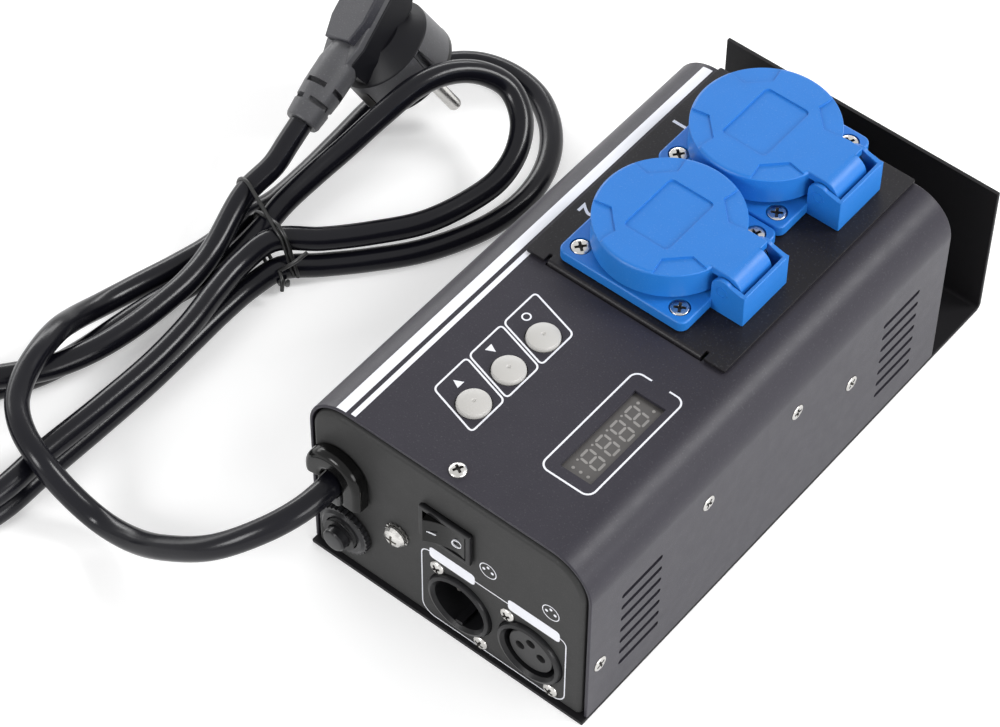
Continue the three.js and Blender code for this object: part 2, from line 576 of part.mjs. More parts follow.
// Power electronics on the floor of the tray.
function heatSink() {
  const fins = 8;
  const pitch = 6;
  const first = 12;
  const base = block(49.4, 52.3, 40, 150, first, first + (fins - 1) * pitch + 1.6);
  const blades = [];
  for (let i = 0; i < fins; i++) blades.push(block(37, 50, 62, 128, first + i * pitch, first + i * pitch + 1.6));
  return piece("heat_sink", join(base, ...blades), 0xa7a9ac, 0.4, 0.9);
}

function triac(name, y) {
  const x = 49.1;
  const tab = block(x - 1.3, x, y - 5, y + 5, 24, 42);
  const body = block(x - 4.5, x - 1, y - 5, y + 5, 24, 34);
  const legs = [-2.5, 0, 2.5].map((u) => block(x - 3, x - 2.2, y + u - 0.4, y + u + 0.4, 16, 25));
  return piece(name, join(cut(tab, bar("x", 1.8, y, 38, x - 3, x + 1, 16)), body, ...legs), 0x262628, 0.5, 0.2);
}

// A ring core with its turns of wire standing out as ribs.
function choke(name, x, y) {
  const ribs = 16;
  const ring = new THREE.TorusGeometry(9, 4.4, 6, 2 * ribs);
  const place = ring.getAttribute("position");
  const corner = new THREE.Vector3();
  const middle = new THREE.Vector3();
  for (let i = 0; i < place.count; i++) {
    corner.fromBufferAttribute(place, i);
    const turn = Math.atan2(corner.y, corner.x);
    middle.set(9 * Math.cos(turn), 9 * Math.sin(turn), 0);
    corner.sub(middle).multiplyScalar(1 + 0.06 * Math.cos(turn * ribs)).add(middle);
    place.setXYZ(i, corner.x, corner.y, corner.z);
  }
  return piece(name, ring.rotateX(Math.PI / 2).translate(x, y, 26), 0xa4592b, 0.4, 0.7);
}

function powerBoard() {
  const board = block(-44, 34, 38, 170, 9, 10.6);
  const bosses = [-1, 1].flatMap((side) => [44, 162].map((y) => bar("z", 1.6, side * 36, y, 8, 12, 12)));
  return piece("power_board", cut(board, ...bosses.slice(0, 2)), 0x2f6b3a, 0.5, 0);
}

function supplyTransformer() {
  const core = block(-36, -6, 128, 152, 14, 38);
  const windows = [-1, 1].map((side) => block(-21 + side * 9 - 3, -21 + side * 9 + 3, 127, 153, 19, 33));
  const coil = block(-30.5, -11.5, 122, 158, 18.5, 33.5);
  const pads = block(-34, -8, 124, 156, 10.9, 14.5);
  return piece("supply_transformer", join(cut(core, ...windows), coil, pads), 0x6f6a5c, 0.6, 0.3);
}

function terminalBlock() {
  const body = block(-40, -16, 42, 54, 10.9, 24);
  const wells = [-36, -28, -20].flatMap((x) => [bar("z", 2.3, x, 48, 16, 25, 12), block(x - 2.3, x + 2.3, 41, 46, 12.5, 16)]);
  return piece("terminal_block", cut(body, ...wells), 0x2e7d3c, 0.5, 0);
}

function electronics() {
  const can = [[0, 10.9], [8, 10.9], [8, 33.2], [7.4, 34], [7.4, 35], [6.4, 35.4], [0, 35.4]];
  return group(
    powerBoard(),
    heatSink(),
    triac("triac_1", 51),
    triac("triac_2", 139),
    choke("choke_1", 14, 76),
    choke("choke_2", 14, 96),
    supplyTransformer(),
    terminalBlock(),
    piece("filter_capacitor", turned("z", can, -22, 84, 24), 0x23233a, 0.4, 0.3),
  );
}

// Mains cord: its route from the bushing, twice round as a loose hank, to the plug.
const FLOOR = 4.3;
const SECOND = 13.1;
const FOLD = { x: -160, y: -57, radius: 24.6 };
const TIE = { centre: new THREE.Vector3(-143.5, 76.5, 0), along: new THREE.Vector3(0.926, -0.377, 0), width: 2.2, thickness: 0.9 };

// A strand's place in the tie: its distance along the tie and its height.
const STRANDS = { lead: [-13, 6.8], plug: [-13, 18.9], middle: [-3.5, 9.1], upper: [7, 15.4], lower: [12.5, 6.8] };

function tied([s, z]) {
  return [TIE.centre.x + s * TIE.along.x, TIE.centre.y + s * TIE.along.y, z];
}

function fold(z) {
  return [0, -30, -60, -90, -120, -150, -180].map((degrees) => [
    FOLD.x + FOLD.radius * Math.cos(radians(degrees)),
    FOLD.y + FOLD.radius * Math.sin(radians(degrees)),
    z,
  ]);
}

const LEAD_ROUTE = [
  [CABLE.x, -1.4, CABLE.z],
  [CABLE.x, -9, CABLE.z],
  [-42.2, -18, 43.6],
  [-47.2, -27.7, 40],
  [-59.6, -38.4, 31],
  [-76.5, -42.6, 20],
  [-91.2, -42.8, 11.5],
  [-106, -42.3, 8],
  [-118.5, -43.4, 14],
  [-129, -43.2, 20.8],
  [-140.4, -39.4, 22.9],
  [-149.5, -32.6, 22.9],
  [-155, -24, 22.8],
  [-159, -13, 22.3],
  [-163, -1, 18.6],
  [-166, 10, 12.4],
  [-166.8, 23, 6.8],
  [-164.6, 37.6, 4.6],
  [-160.8, 52, FLOOR],
  [-157.6, 66, 4.6],
  tied(STRANDS.lead),
];

const OUTER_LOOP = [
  [-154.4, 94, 4.7],
  [-154.5, 110, FLOOR],
  [-155.6, 128, FLOOR],
  [-157, 147, FLOOR],
  [-156.6, 165, FLOOR],
  [-151.6, 179, FLOOR],
  [-143, 187.2, FLOOR],
  [-131.5, 190.5, FLOOR],
  [-117.7, 188.8, FLOOR],
  [-106.4, 182, FLOOR],
  [-98, 172.6, FLOOR],
  [-92.4, 161, FLOOR],
  [-90.1, 147.5, FLOOR],
  [-91.4, 134, FLOOR],
  [-96, 120.5, FLOOR],
  [-103, 107.5, FLOOR],
  [-113.6, 94, 4.4],
  [-123.8, 82.4, 4.9],
  tied(STRANDS.lower),
  [-135.4, 61, 4.9],
  [-136, 47, FLOOR],
  [-135.2, 30, FLOOR],
  [-134.4, 10, FLOOR],
  [-134.6, -12, FLOOR],
  [-135.2, -36, FLOOR],
];

const INNER_LOOP = [
  [-183.4, -46, FLOOR],
  [-177.4, -33, FLOOR],
  [-169.2, -20.6, FLOOR],
  [-163, -7.6, FLOOR],
  [-159.6, 6, FLOOR],
  [-157.6, 20, FLOOR],
  [-155.4, 34, FLOOR],
  [-152, 48.5, FLOOR],
  [-148.6, 62.5, 5.2],
  tied(STRANDS.middle),
  [-146, 90, 13.6],
  [-142, 101.5, 20.8],
  [-137.6, 112.4, 27.8],
  [-133.6, 126.4, 34.8],
  [-130.6, 141, 38.6],
  [-126.6, 153.4, 37.8],
  [-120.4, 162.8, 34],
  [-112.6, 167.4, 28.4],
  [-104, 163.6, 23],
  [-98.4, 154.6, 18.4],
  [-96.6, 143, 15],
  [-98.8, 130.4, 13.4],
  [-104.6, 113.4, SECOND],
  [-114.6, 99.2, SECOND],
  [-125.8, 86, 13.5],
  tied(STRANDS.upper),
  [-139.4, 61, 13.7],
  [-138, 47, SECOND],
  [-135, 31, SECOND],
  [-133.4, 12, SECOND],
  [-133.9, -12, SECOND],
  [-135.2, -36, SECOND],
];

const TAIL_ROUTE = [
  [-182.2, -45, SECOND],
  [-175, -32.4, SECOND],
  [-165.6, -21.4, SECOND],
  [-157.2, -9.6, SECOND],
  [-151.8, 4, SECOND],
  [-149, 18, SECOND],
  [-148, 32, SECOND],
  [-148.2, 46, SECOND],
  [-150.6, 60, 13.6],
  tied(STRANDS.plug),
];

const plugFrame = new THREE.Matrix4().makeBasis(
  new THREE.Vector3().crossVectors(PLUG_PINS, PLUG_HEADING),
  PLUG_HEADING,
  PLUG_PINS.clone().negate(),
);
plugFrame.setPosition(PLUG_FACE_CENTRE);

// Points on the plug's cable axis: where the boot takes the cord, and the straight run before it.
const PLUG_ENTRY = [17, 8, 0].map((before) => {
  const place = new THREE.Vector3(0, PLUG.bootEnd - FIT - before, PLUG.bootAxis).applyMatrix4(plugFrame);
  return place.toArray();
});

const route = new THREE.CatmullRomCurve3(
  [
    ...LEAD_ROUTE,
    ...OUTER_LOOP,
    ...fold(FLOOR),
    ...INNER_LOOP,
    ...fold(SECOND),
    ...TAIL_ROUTE,
    ...PLUG_ENTRY,
  ].map((point) => new THREE.Vector3(...point)),
  false,
  "centripetal",
);
route.arcLengthDivisions = 3000;

// One stretch of the route, between two distances from the bushing.
class Stretch extends THREE.Curve {
  constructor(from, to) {
    super();
    this.from = from;
    this.to = to;
  }
  getPoint(t) {
    return route.getPointAt((this.from + (this.to - this.from) * t) / route.getLength());
  }
}

function tube(stretch, steps, sides) {
  const ring = new THREE.Shape();
  for (let i = 0; i < sides; i++) {
    const corner = [CABLE.radius * Math.cos((2 * Math.PI * i) / sides), CABLE.radius * Math.sin((2 * Math.PI * i) / sides)];
    if (i === 0) ring.moveTo(...corner);
    else ring.lineTo(...corner);
  }
  return new THREE.ExtrudeGeometry(ring, { steps, extrudePath: stretch });
}

// The distance along the route at which it passes nearest to a point.
function distanceTo(point) {
  const target = new THREE.Vector3(...point);
  const samples = 4000;
  let best = 0;
  let least = Infinity;
  for (let i = 0; i <= samples; i++) {
    const gap = route.getPointAt(i / samples).distanceTo(target);
    if (gap < least) {
      least = gap;
      best = i / samples;
    }
  }
  return best * route.getLength();
}

// The least gap between two places on the cord that are further apart along it than a half turn.
function leastGap(stretch) {
  const spacing = 3;
  const count = Math.round((stretch.to - stretch.from) / spacing);
  const points = new Stretch(stretch.from, stretch.to).getSpacedPoints(count);
  let least = Infinity;
  for (let i = 0; i < points.length; i++) {
    for (let j = i + 12; j < points.length; j++) least = Math.min(least, points[i].distanceTo(points[j]));
  }
  return least - 2 * CABLE.radius;
}

// The flat ring of a tie drawn tight round the strands, with the twisted end of its wire.
function cordTie() {
  const reach = CABLE.radius + 1.3;
  const dots = Object.values(STRANDS).flatMap(([s, z]) =>
    Array.from({ length: 16 }, (_, i) => [s + reach * Math.cos((i * Math.PI) / 8), z + reach * Math.sin((i * Math.PI) / 8)]),
  );
  const inner = hull(dots);
  const middle = inner.reduce(([s, z], [u, v]) => [s + u / inner.length, z + v / inner.length], [0, 0]);
  const outer = inner.map(([s, z]) => {
    const length = Math.hypot(s - middle[0], z - middle[1]);
    const grown = 1 + TIE.thickness / length;
    return [middle[0] + (s - middle[0]) * grown, middle[1] + (z - middle[1]) * grown];
  });
  const shape = outline(outer);
  shape.holes.push(new THREE.Path(inner.map(([s, z]) => new THREE.Vector2(s, z))));
  const band = prism("y", shape, -TIE.width / 2, TIE.width / 2);
  const twist = new THREE.CatmullRomCurve3([[7, 0, 21.1], [11, 1.2, 22.4], [16, 3, 21.6], [21, 5, 17.5]].map((p) => new THREE.Vector3(...p)));
  const wire = new THREE.Shape().absarc(0, 0, 0.8, 0, 2 * Math.PI);
  const end = new THREE.ExtrudeGeometry(wire, { steps: 8, curveSegments: 6, extrudePath: twist });
  const made = piece("cord_tie", join(band, end), 0x151515, 0.5, 0);
  made.position.copy(TIE.centre);
  made.rotation.z = Math.atan2(TIE.along.y, TIE.along.x);
  return made;
}

// The convex outline round a set of points, by Andrew's monotone chain.
function hull(points) {
  const sorted = [...points].sort((a, b) => a[0] - b[0] || a[1] - b[1]);
  const turn = (o, a, b) => (a[0] - o[0]) * (b[1] - o[1]) - (a[1] - o[1]) * (b[0] - o[0]);
  const chain = (list) => {
    const kept = [];
    for (const point of list) {
      while (kept.length > 1 && turn(kept[kept.length - 2], kept[kept.length - 1], point) <= 1e-6) kept.pop();
      kept.push(point);
    }
    return kept.slice(0, -1);
  };
  return [...chain(sorted), ...chain(sorted.reverse())];
}

// The angled plug: slotted boot, wedge-shaped back, and round skirt with side grooves.
function plugBody() {
  const { faceRadius, skirt, back, bootAxis, bootEnd } = PLUG;
  const wedge = outline([[-17.6, skirt - 2], [17.6, skirt - 2], [15.4, skirt + 6], [6.4, back], [-6.4, back], [-15.4, skirt + 6]]);
  const body = prism("y", wedge, -15, 17.6);
  const disc = turned("z", [[0, 0], [faceRadius - 0.8, 0], [faceRadius, 0.8], [faceRadius, skirt], [0, skirt]], 0, 0, 32);
  const grip = turned("y", [[0, bootEnd], [6.2, bootEnd], [6.6, bootEnd + 1], [8.4, -13], [0, -13]], 0, bootAxis, 16);
  const neck = turned("y", [[0, -20], [8, -20], [9.2, -8], [0, -8]], 0, bootAxis, 16);
  const slots = [];
  for (const [row, y] of [bootEnd + 4, bootEnd + 9.5, bootEnd + 15].entries()) {
    for (const side of [-1, 1]) {
      const angle = radians(45 + 90 * (row % 2));
      const depth = 5.4;
      const u = side * depth * Math.cos(angle) * 1.45;
      const v = side * depth * Math.sin(angle) * 1.45;
      slots.push(block(-5, 5, y, y + 1.8, -2.5, 2.5).rotateY(-angle + Math.PI / 2).translate(u, 0, bootAxis + v));
    }
  }
  const grooves = [-1, 1].map((side) => {
    const edges = [side * (faceRadius - 2), side * (faceRadius + 1)].sort((a, b) => a - b);
    return block(...edges, -2.6, 2.6, -1, skirt - 3);
  });
  const contactSeats = [-1, 1].map((side) => {
    const edges = [side * (faceRadius - 1.6), side * (faceRadius + 1)].sort((a, b) => a - b);
    return block(-4, 4, ...edges, -1, skirt - 4);
  });
  const made = cut(join(body, disc, grip, neck), ...slots, ...grooves, ...contactSeats, ...pinSeats());
  return piece("plug_body", made, 0x2a2a2d, 0.5, 0);
}

function pinSeats() {
  return [-1, 1].map((side) => bar("z", PLUG.pin + FIT, (side * PLUG.pinPitch) / 2, 0, -1, 5, 16));
}

function plugPin(name, side) {
  const { pin, pinReach, pinPitch } = PLUG;
  const tip = pinReach;
  const profile = [[0, -tip], [pin - 1, -tip], [pin, 1.2 - tip], [pin, 4.6], [0, 4.6]];
  return piece(name, turned("z", profile, (side * pinPitch) / 2, 0, 16), 0xc9c9c6, 0.25, 0.95);
}

function plugEarth(name, side) {
  const inner = PLUG.faceRadius - 1.3;
  const edges = [side * inner, side * (inner + 0.8)].sort((a, b) => a - b);
  return piece(name, block(-3.6, 3.6, ...edges, 0.5, PLUG.skirt - 4.4), 0xc9b27a, 0.3, 0.95);
}

function plug() {
  const made = group(
    plugBody(),
    plugPin("plug_pin_left", -1),
    plugPin("plug_pin_right", 1),
    plugEarth("plug_earth_front", -1),
    plugEarth("plug_earth_rear", 1),
  );
  made.applyMatrix4(plugFrame);
  return made;
}

function cord() {
  const tieIn = distanceTo(tied(STRANDS.lead)) + 8;
  const tieOut = distanceTo(tied(STRANDS.plug)) - 8;
  const whole = route.getLength();
  const lead = new Stretch(0, tieIn);
  const hank = new Stretch(tieIn + FIT, tieOut);
  const tail = new Stretch(tieOut + FIT, whole);
  console.log("cord length", whole.toFixed(1), "least gap of the hank", leastGap(hank).toFixed(2));
  return group(
    piece("cord_lead", tube(lead, 34, 8), 0x1d1d20, 0.3, 0),
    piece("cord_hank", tube(hank, 110, 6), 0x1d1d20, 0.3, 0),
    piece("cord_tail", tube(tail, 5, 8), 0x1d1d20, 0.3, 0),
    cordTie(),
    plug(),
  );
}

const dimmerPack = group(
  mountingBracket(),
  chassis(),
  topCover(),
  outletPlate(),
  outlets(),
  signalShell("signal_in_shell", SIGNAL_X.in, true),
  signalInletInsert(),
  signalShell("signal_out_shell", SIGNAL_X.out, false),
  signalOutletInsert(),
  strainRelief(),
  strainReliefJaw(),
  breakerBody(),
  breakerNut(),
  breakerButton(),
  earthTerminal(),
  rockerHousing(),
  rocker(),
  controls(),
  electronics(),
  cord(),
);

// The origin is under the middle of the pack, between the breaker's button and the clamp flange.
dimmerPack.position.y = -(BREAKER.buttonFace + PLATE.rear) / 2;

export default dimmerPack;
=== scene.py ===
"""Looks of a small stage dimmer pack with its folded mains cord.

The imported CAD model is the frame. Metres, +Z up: X runs across the front panel, Y runs back from it.
Shapes are drawn in the housing's own coordinates, whose Y starts at the cover's front edge, and are
shifted to the frame when they are dressed.
"""

import logging
import math
from dataclasses import dataclass, field
from enum import Enum
from typing import Iterable, Sequence

import bmesh
import bpy
from mathutils import Matrix, Vector

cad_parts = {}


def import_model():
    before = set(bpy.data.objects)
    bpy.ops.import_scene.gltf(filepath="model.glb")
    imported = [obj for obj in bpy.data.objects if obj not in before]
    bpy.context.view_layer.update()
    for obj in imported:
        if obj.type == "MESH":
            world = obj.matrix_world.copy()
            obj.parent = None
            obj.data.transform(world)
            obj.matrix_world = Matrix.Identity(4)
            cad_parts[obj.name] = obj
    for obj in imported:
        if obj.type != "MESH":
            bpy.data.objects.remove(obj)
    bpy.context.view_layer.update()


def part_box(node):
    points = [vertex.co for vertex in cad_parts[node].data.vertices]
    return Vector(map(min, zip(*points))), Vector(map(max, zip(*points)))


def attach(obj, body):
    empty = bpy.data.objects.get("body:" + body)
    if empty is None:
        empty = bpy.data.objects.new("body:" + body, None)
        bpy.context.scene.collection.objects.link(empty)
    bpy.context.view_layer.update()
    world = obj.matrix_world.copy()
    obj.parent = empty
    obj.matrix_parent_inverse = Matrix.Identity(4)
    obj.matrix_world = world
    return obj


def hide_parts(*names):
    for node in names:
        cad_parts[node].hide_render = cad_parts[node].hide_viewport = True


log = logging.getLogger("dimmer_pack")

Point = tuple[float, float]
Place = tuple[float, float, float]
Color = tuple[float, float, float]

PACK = "pack"
GAP = 0.0003
PRINT_HEIGHT = 0.00005
PRINT_SINK = 0.00002

# Places on the housing that several pieces share, in its own coordinates.
PANEL_FACE = -0.0008
BUSHING = (-0.041, 0.0468)
BREAKER = (-0.0394, 0.0191)
EARTH_SCREW = (-0.0188, 0.0338)
ROCKER = (0.00085, 0.05165)
SIGNAL_X = {"in": 0.0055, "out": 0.0327}
SIGNAL_Z = 0.0183
OUTLET_X = -0.0038
OUTLET_Y = {"front": 0.1102, "rear": 0.1594}
WELL_HOLE = 0.0208
PIN_SIDE = 0.0095
KEY_PITCH = 0.01645
WINDOW_X = (0.0215, 0.0331)
WINDOW_Y = (0.0256, 0.0615)


class Axis(Enum):
    """The axis that an outline is pushed along, or that a profile turns about."""

    X = "x"
    Y = "y"
    Z = "z"

    def place(self, u: float, v: float, w: float) -> Place:
        """A point from its two coordinates across the axis and the one along it."""
        if self is Axis.X:
            return (w, u, v)
        if self is Axis.Y:
            return (u, w, v)
        return (u, v, w)


class Sharpness(Enum):
    """How finely an edge is rounded: its segments."""

    CRISP = 1
    SOFT = 2
    ROUND = 3


@dataclass(frozen=True)
class Finish:
    """One surface finish: base colour, gloss, and the grain that breaks both up.

    Attributes:
        name: The material's name.
        color: Base colour, linear.
        roughness: Mean roughness.
        metallic: 1 for bare metal.
        grain: Size of the finest relief, in metres.
        relief: Strength of that relief.
        mottle: How far the colour wanders, as a share of it.
        haze: How far the roughness wanders.
        level: Specular level of the surface.
        fleck: How much lighter its fine specks are, as a share of white.
    """

    name: str
    color: Color
    roughness: float
    metallic: float = 0.0
    grain: float = 0.0004
    relief: float = 0.15
    mottle: float = 0.08
    haze: float = 0.06
    level: float = 0.5
    fleck: float = 0.0

    def material(self) -> bpy.types.Material:
        """Returns the finish's node material, made on first use."""
        label = f"look_{self.name}"
        known = bpy.data.materials.get(label)
        if known is not None:
            return known
        made = bpy.data.materials.new(label)
        made.use_nodes = True
        tree = made.node_tree
        shader = tree.nodes["Principled BSDF"]
        shader.inputs["Metallic"].default_value = self.metallic
        shader.inputs["Specular IOR Level"].default_value = self.level
        where = tree.nodes.new("ShaderNodeTexCoord").outputs["Object"]
        self._color(tree, where, shader)
        self._roughness(tree, where, shader)
        self._relief(tree, where, shader)
        return made

    def _noise(self, tree: bpy.types.NodeTree, where: bpy.types.NodeSocket, size: float,
               detail: float) -> bpy.types.NodeSocket:
        """Returns the value of a noise whose features have that size in metres."""
        noise = tree.nodes.new("ShaderNodeTexNoise")
        noise.inputs["Scale"].default_value = 1.0 / size
        noise.inputs["Detail"].default_value = detail
        tree.links.new(where, noise.inputs["Vector"])
        return noise.outputs["Fac"]

    def _color(self, tree: bpy.types.NodeTree, where: bpy.types.NodeSocket, shader: bpy.types.Node) -> None:
        """Lets the base colour wander a little round its mean, under fine light specks."""
        mix = tree.nodes.new("ShaderNodeMix")
        mix.data_type = "RGBA"
        low = [c * (1 - self.mottle) for c in self.color]
        high = [min(c * (1 + self.mottle), 1.0) for c in self.color]
        mix.inputs[6].default_value = (*low, 1.0)
        mix.inputs[7].default_value = (*high, 1.0)
        tree.links.new(self._noise(tree, where, self.grain * 30, 4.0), mix.inputs[0])
        result = mix.outputs[2]
        if self.fleck > 0.0:
            share = tree.nodes.new("ShaderNodeMapRange")
            share.inputs["From Min"].default_value = 0.6
            share.inputs["From Max"].default_value = 0.72
            tree.links.new(self._noise(tree, where, self.grain * 1.6, 2.0), share.inputs["Value"])
            specks = tree.nodes.new("ShaderNodeMix")
            specks.data_type = "RGBA"
            specks.inputs[7].default_value = (*[c + self.fleck * (1 - c) for c in self.color], 1.0)
            tree.links.new(share.outputs["Result"], specks.inputs[0])
            tree.links.new(result, specks.inputs[6])
            result = specks.outputs[2]
        tree.links.new(result, shader.inputs["Base Color"])

    def _roughness(self, tree: bpy.types.NodeTree, where: bpy.types.NodeSocket,
                   shader: bpy.types.Node) -> None:
        """Lets the roughness wander, as handled and moulded surfaces do."""
        spread = tree.nodes.new("ShaderNodeMapRange")
        spread.inputs["To Min"].default_value = max(self.roughness - self.haze, 0.02)
        spread.inputs["To Max"].default_value = min(self.roughness + self.haze, 1.0)
        tree.links.new(self._noise(tree, where, self.grain * 12, 6.0), spread.inputs["Value"])
        tree.links.new(spread.outputs["Result"], shader.inputs["Roughness"])

    def _relief(self, tree: bpy.types.NodeTree, where: bpy.types.NodeSocket, shader: bpy.types.Node) -> None:
        """Adds the fine grain of the surface as a bump."""
        bump = tree.nodes.new("ShaderNodeBump")
        bump.inputs["Strength"].default_value = self.relief
        bump.inputs["Distance"].default_value = self.grain * 0.3
        tree.links.new(self._noise(tree, where, self.grain, 3.0), bump.inputs["Height"])
        tree.links.new(bump.outputs["Normal"], shader.inputs["Normal"])


COVER_PAINT = Finish("cover_paint", (0.03, 0.028, 0.037), 0.38, relief=0.3, level=0.22, fleck=0.018)
PANEL_PAINT = Finish("panel_paint", (0.034, 0.034, 0.034), 0.5, relief=0.25, level=0.15, fleck=0.015)
PLATE_PAINT = Finish("plate_paint", (0.011, 0.01, 0.012), 0.4, relief=0.25, level=0.22, fleck=0.02)
BRACKET_PAINT = Finish("bracket_paint", (0.015, 0.0145, 0.016), 0.45, grain=0.0005, relief=0.2, level=0.12)
SOCKET_BLUE = Finish("socket_blue", (0.015, 0.17, 0.56), 0.4, grain=0.0003, relief=0.35, mottle=0.04,
                     level=0.4, fleck=0.03)
BLACK_NYLON = Finish("black_nylon", (0.009, 0.009, 0.01), 0.34, grain=0.0003, relief=0.15, level=0.25)
BLACK_GLOSS = Finish("black_gloss", (0.004, 0.004, 0.004), 0.16, grain=0.0009, relief=0.05, haze=0.03,
                     level=0.22)
BREAKER_BLACK = Finish("breaker_black", (0.017, 0.017, 0.019), 0.3, grain=0.0003, relief=0.15, level=0.35)
GREY_NYLON = Finish("grey_nylon", (0.05, 0.05, 0.052), 0.32, grain=0.0003, relief=0.1, level=0.4)
INSERT_GREY = Finish("insert_grey", (0.032, 0.032, 0.033), 0.42, grain=0.0003, relief=0.15, level=0.3)
DARK_CONTACT = Finish("dark_contact", (0.09, 0.085, 0.08), 0.4, 1.0, grain=0.0005, relief=0.1)
SILVER_CAP = Finish("silver_cap", (0.5, 0.49, 0.47), 0.4, grain=0.0006, relief=0.1, mottle=0.05)
PLATED_STEEL = Finish("plated_steel", (0.62, 0.61, 0.59), 0.26, 1.0, grain=0.0006, relief=0.12, mottle=0.15,
                      haze=0.12)
SCREW_NICKEL = Finish("screw_nickel", (0.56, 0.55, 0.53), 0.24, 1.0, grain=0.0006, relief=0.1, mottle=0.1,
                      haze=0.08)
# Painted shade: a dark finish for the screws' cross recesses, standing in for the shade in them.
SCREW_RECESS_SHADE = Finish("screw_recess_shade", (0.05, 0.047, 0.044), 0.5, 0.6, grain=0.0004, relief=0.2)
CONTACT_BRASS = Finish("contact_brass", (0.6, 0.5, 0.3), 0.3, 1.0, grain=0.0006, relief=0.1)
SHEATH = Finish("cord_sheath", (0.005, 0.005, 0.008), 0.22, grain=0.0016, relief=0.05, haze=0.04, level=0.25)
# Painted shade: the plug's cap, darker than its skirt and boot for the shade on its top.
PLUG_CAP_SHADE = Finish("plug_plastic", (0.026, 0.026, 0.033), 0.4, grain=0.0003, relief=0.4, level=0.35,
                      fleck=0.05)
# Painted shade: the plug's waisted head, one moulding with the rest, made near black for the shade under its
# cap.
PLUG_CORE_SHADE = Finish("plug_core_shade", (0.006, 0.006, 0.008), 0.42, grain=0.0003, relief=0.2, level=0.2)
PLUG_SKIRT = Finish("plug_skirt", (0.08, 0.08, 0.086), 0.4, grain=0.0003, relief=0.4, level=0.35, fleck=0.05)
TIE_PLASTIC = Finish("tie_plastic", (0.008, 0.008, 0.008), 0.34, grain=0.0004, relief=0.15)
DISPLAY_FACE = Finish("display_face", (0.085, 0.08, 0.078), 0.35, grain=0.0008, relief=0.05)
DISPLAY_SEGMENT = Finish("display_segment", (0.28, 0.27, 0.26), 0.4, grain=0.0008, relief=0.03, mottle=0.15)
WHITE_INK = Finish("white_ink", (0.82, 0.83, 0.88), 0.5, grain=0.0003, relief=0.1, mottle=0.04)
BOARD_GREEN = Finish("board_green", (0.02, 0.1, 0.035), 0.4, grain=0.001, relief=0.1, mottle=0.2)
TERMINAL_GREEN = Finish("terminal_green", (0.03, 0.2, 0.06), 0.45, grain=0.0004, relief=0.15)
DRAWN_ALUMINIUM = Finish("drawn_aluminium", (0.6, 0.6, 0.62), 0.36, 1.0, grain=0.0006, relief=0.15)
DEVICE_EPOXY = Finish("device_epoxy", (0.02, 0.02, 0.02), 0.55, grain=0.0003, relief=0.2)
WINDING_COPPER = Finish("winding_copper", (0.6, 0.22, 0.08), 0.3, 0.9, grain=0.0006, relief=0.3)
CORE_IRON = Finish("core_iron", (0.2, 0.19, 0.17), 0.55, 0.4, grain=0.0006, relief=0.3)
CAPACITOR_SLEEVE = Finish("capacitor_sleeve", (0.02, 0.02, 0.07), 0.3, grain=0.0008, relief=0.05)


def arc(centre: Point, radius: float, start: float, end: float, steps: int) -> list[Point]:
    """Points along an arc, from one angle to another in degrees."""
    angles = [math.radians(start + (end - start) * i / steps) for i in range(steps + 1)]
    return [(centre[0] + radius * math.cos(a), centre[1] + radius * math.sin(a)) for a in angles]


def rounded(u0: float, u1: float, v0: float, v1: float, radius: float, upper: float | None = None,
            steps: int = 8) -> list[Point]:
    """A rectangle with rounded corners, whose upper two may have a radius of their own."""
    top = radius if upper is None else upper
    return [
        *arc((u1 - radius, v0 + radius), radius, -90, 0, steps),
        *arc((u1 - top, v1 - top), top, 0, 90, steps),
        *arc((u0 + top, v1 - top), top, 90, 180, steps),
        *arc((u0 + radius, v0 + radius), radius, 180, 270, steps),
    ]


def inset_outline(outline: Sequence[Point], inset: float) -> list[Point]:
    """A closed outline drawn a distance further in."""
    count = len(outline)
    around = sum(a[0] * b[1] - b[0] * a[1] for a, b in zip(outline, [*outline[1:], outline[0]]))
    side = 1.0 if around > 0 else -1.0
    made = []
    for i, here in enumerate(outline):
        before = Vector(here) - Vector(outline[i - 1])
        after = Vector(outline[(i + 1) % count]) - Vector(here)
        before.normalize()
        after.normalize()
        mean = (before + after).normalized()
        shift = Vector((-mean.y, mean.x)) * (side * inset / max(mean.dot(after), 0.4))
        made.append((here[0] + shift.x, here[1] + shift.y))
    return made


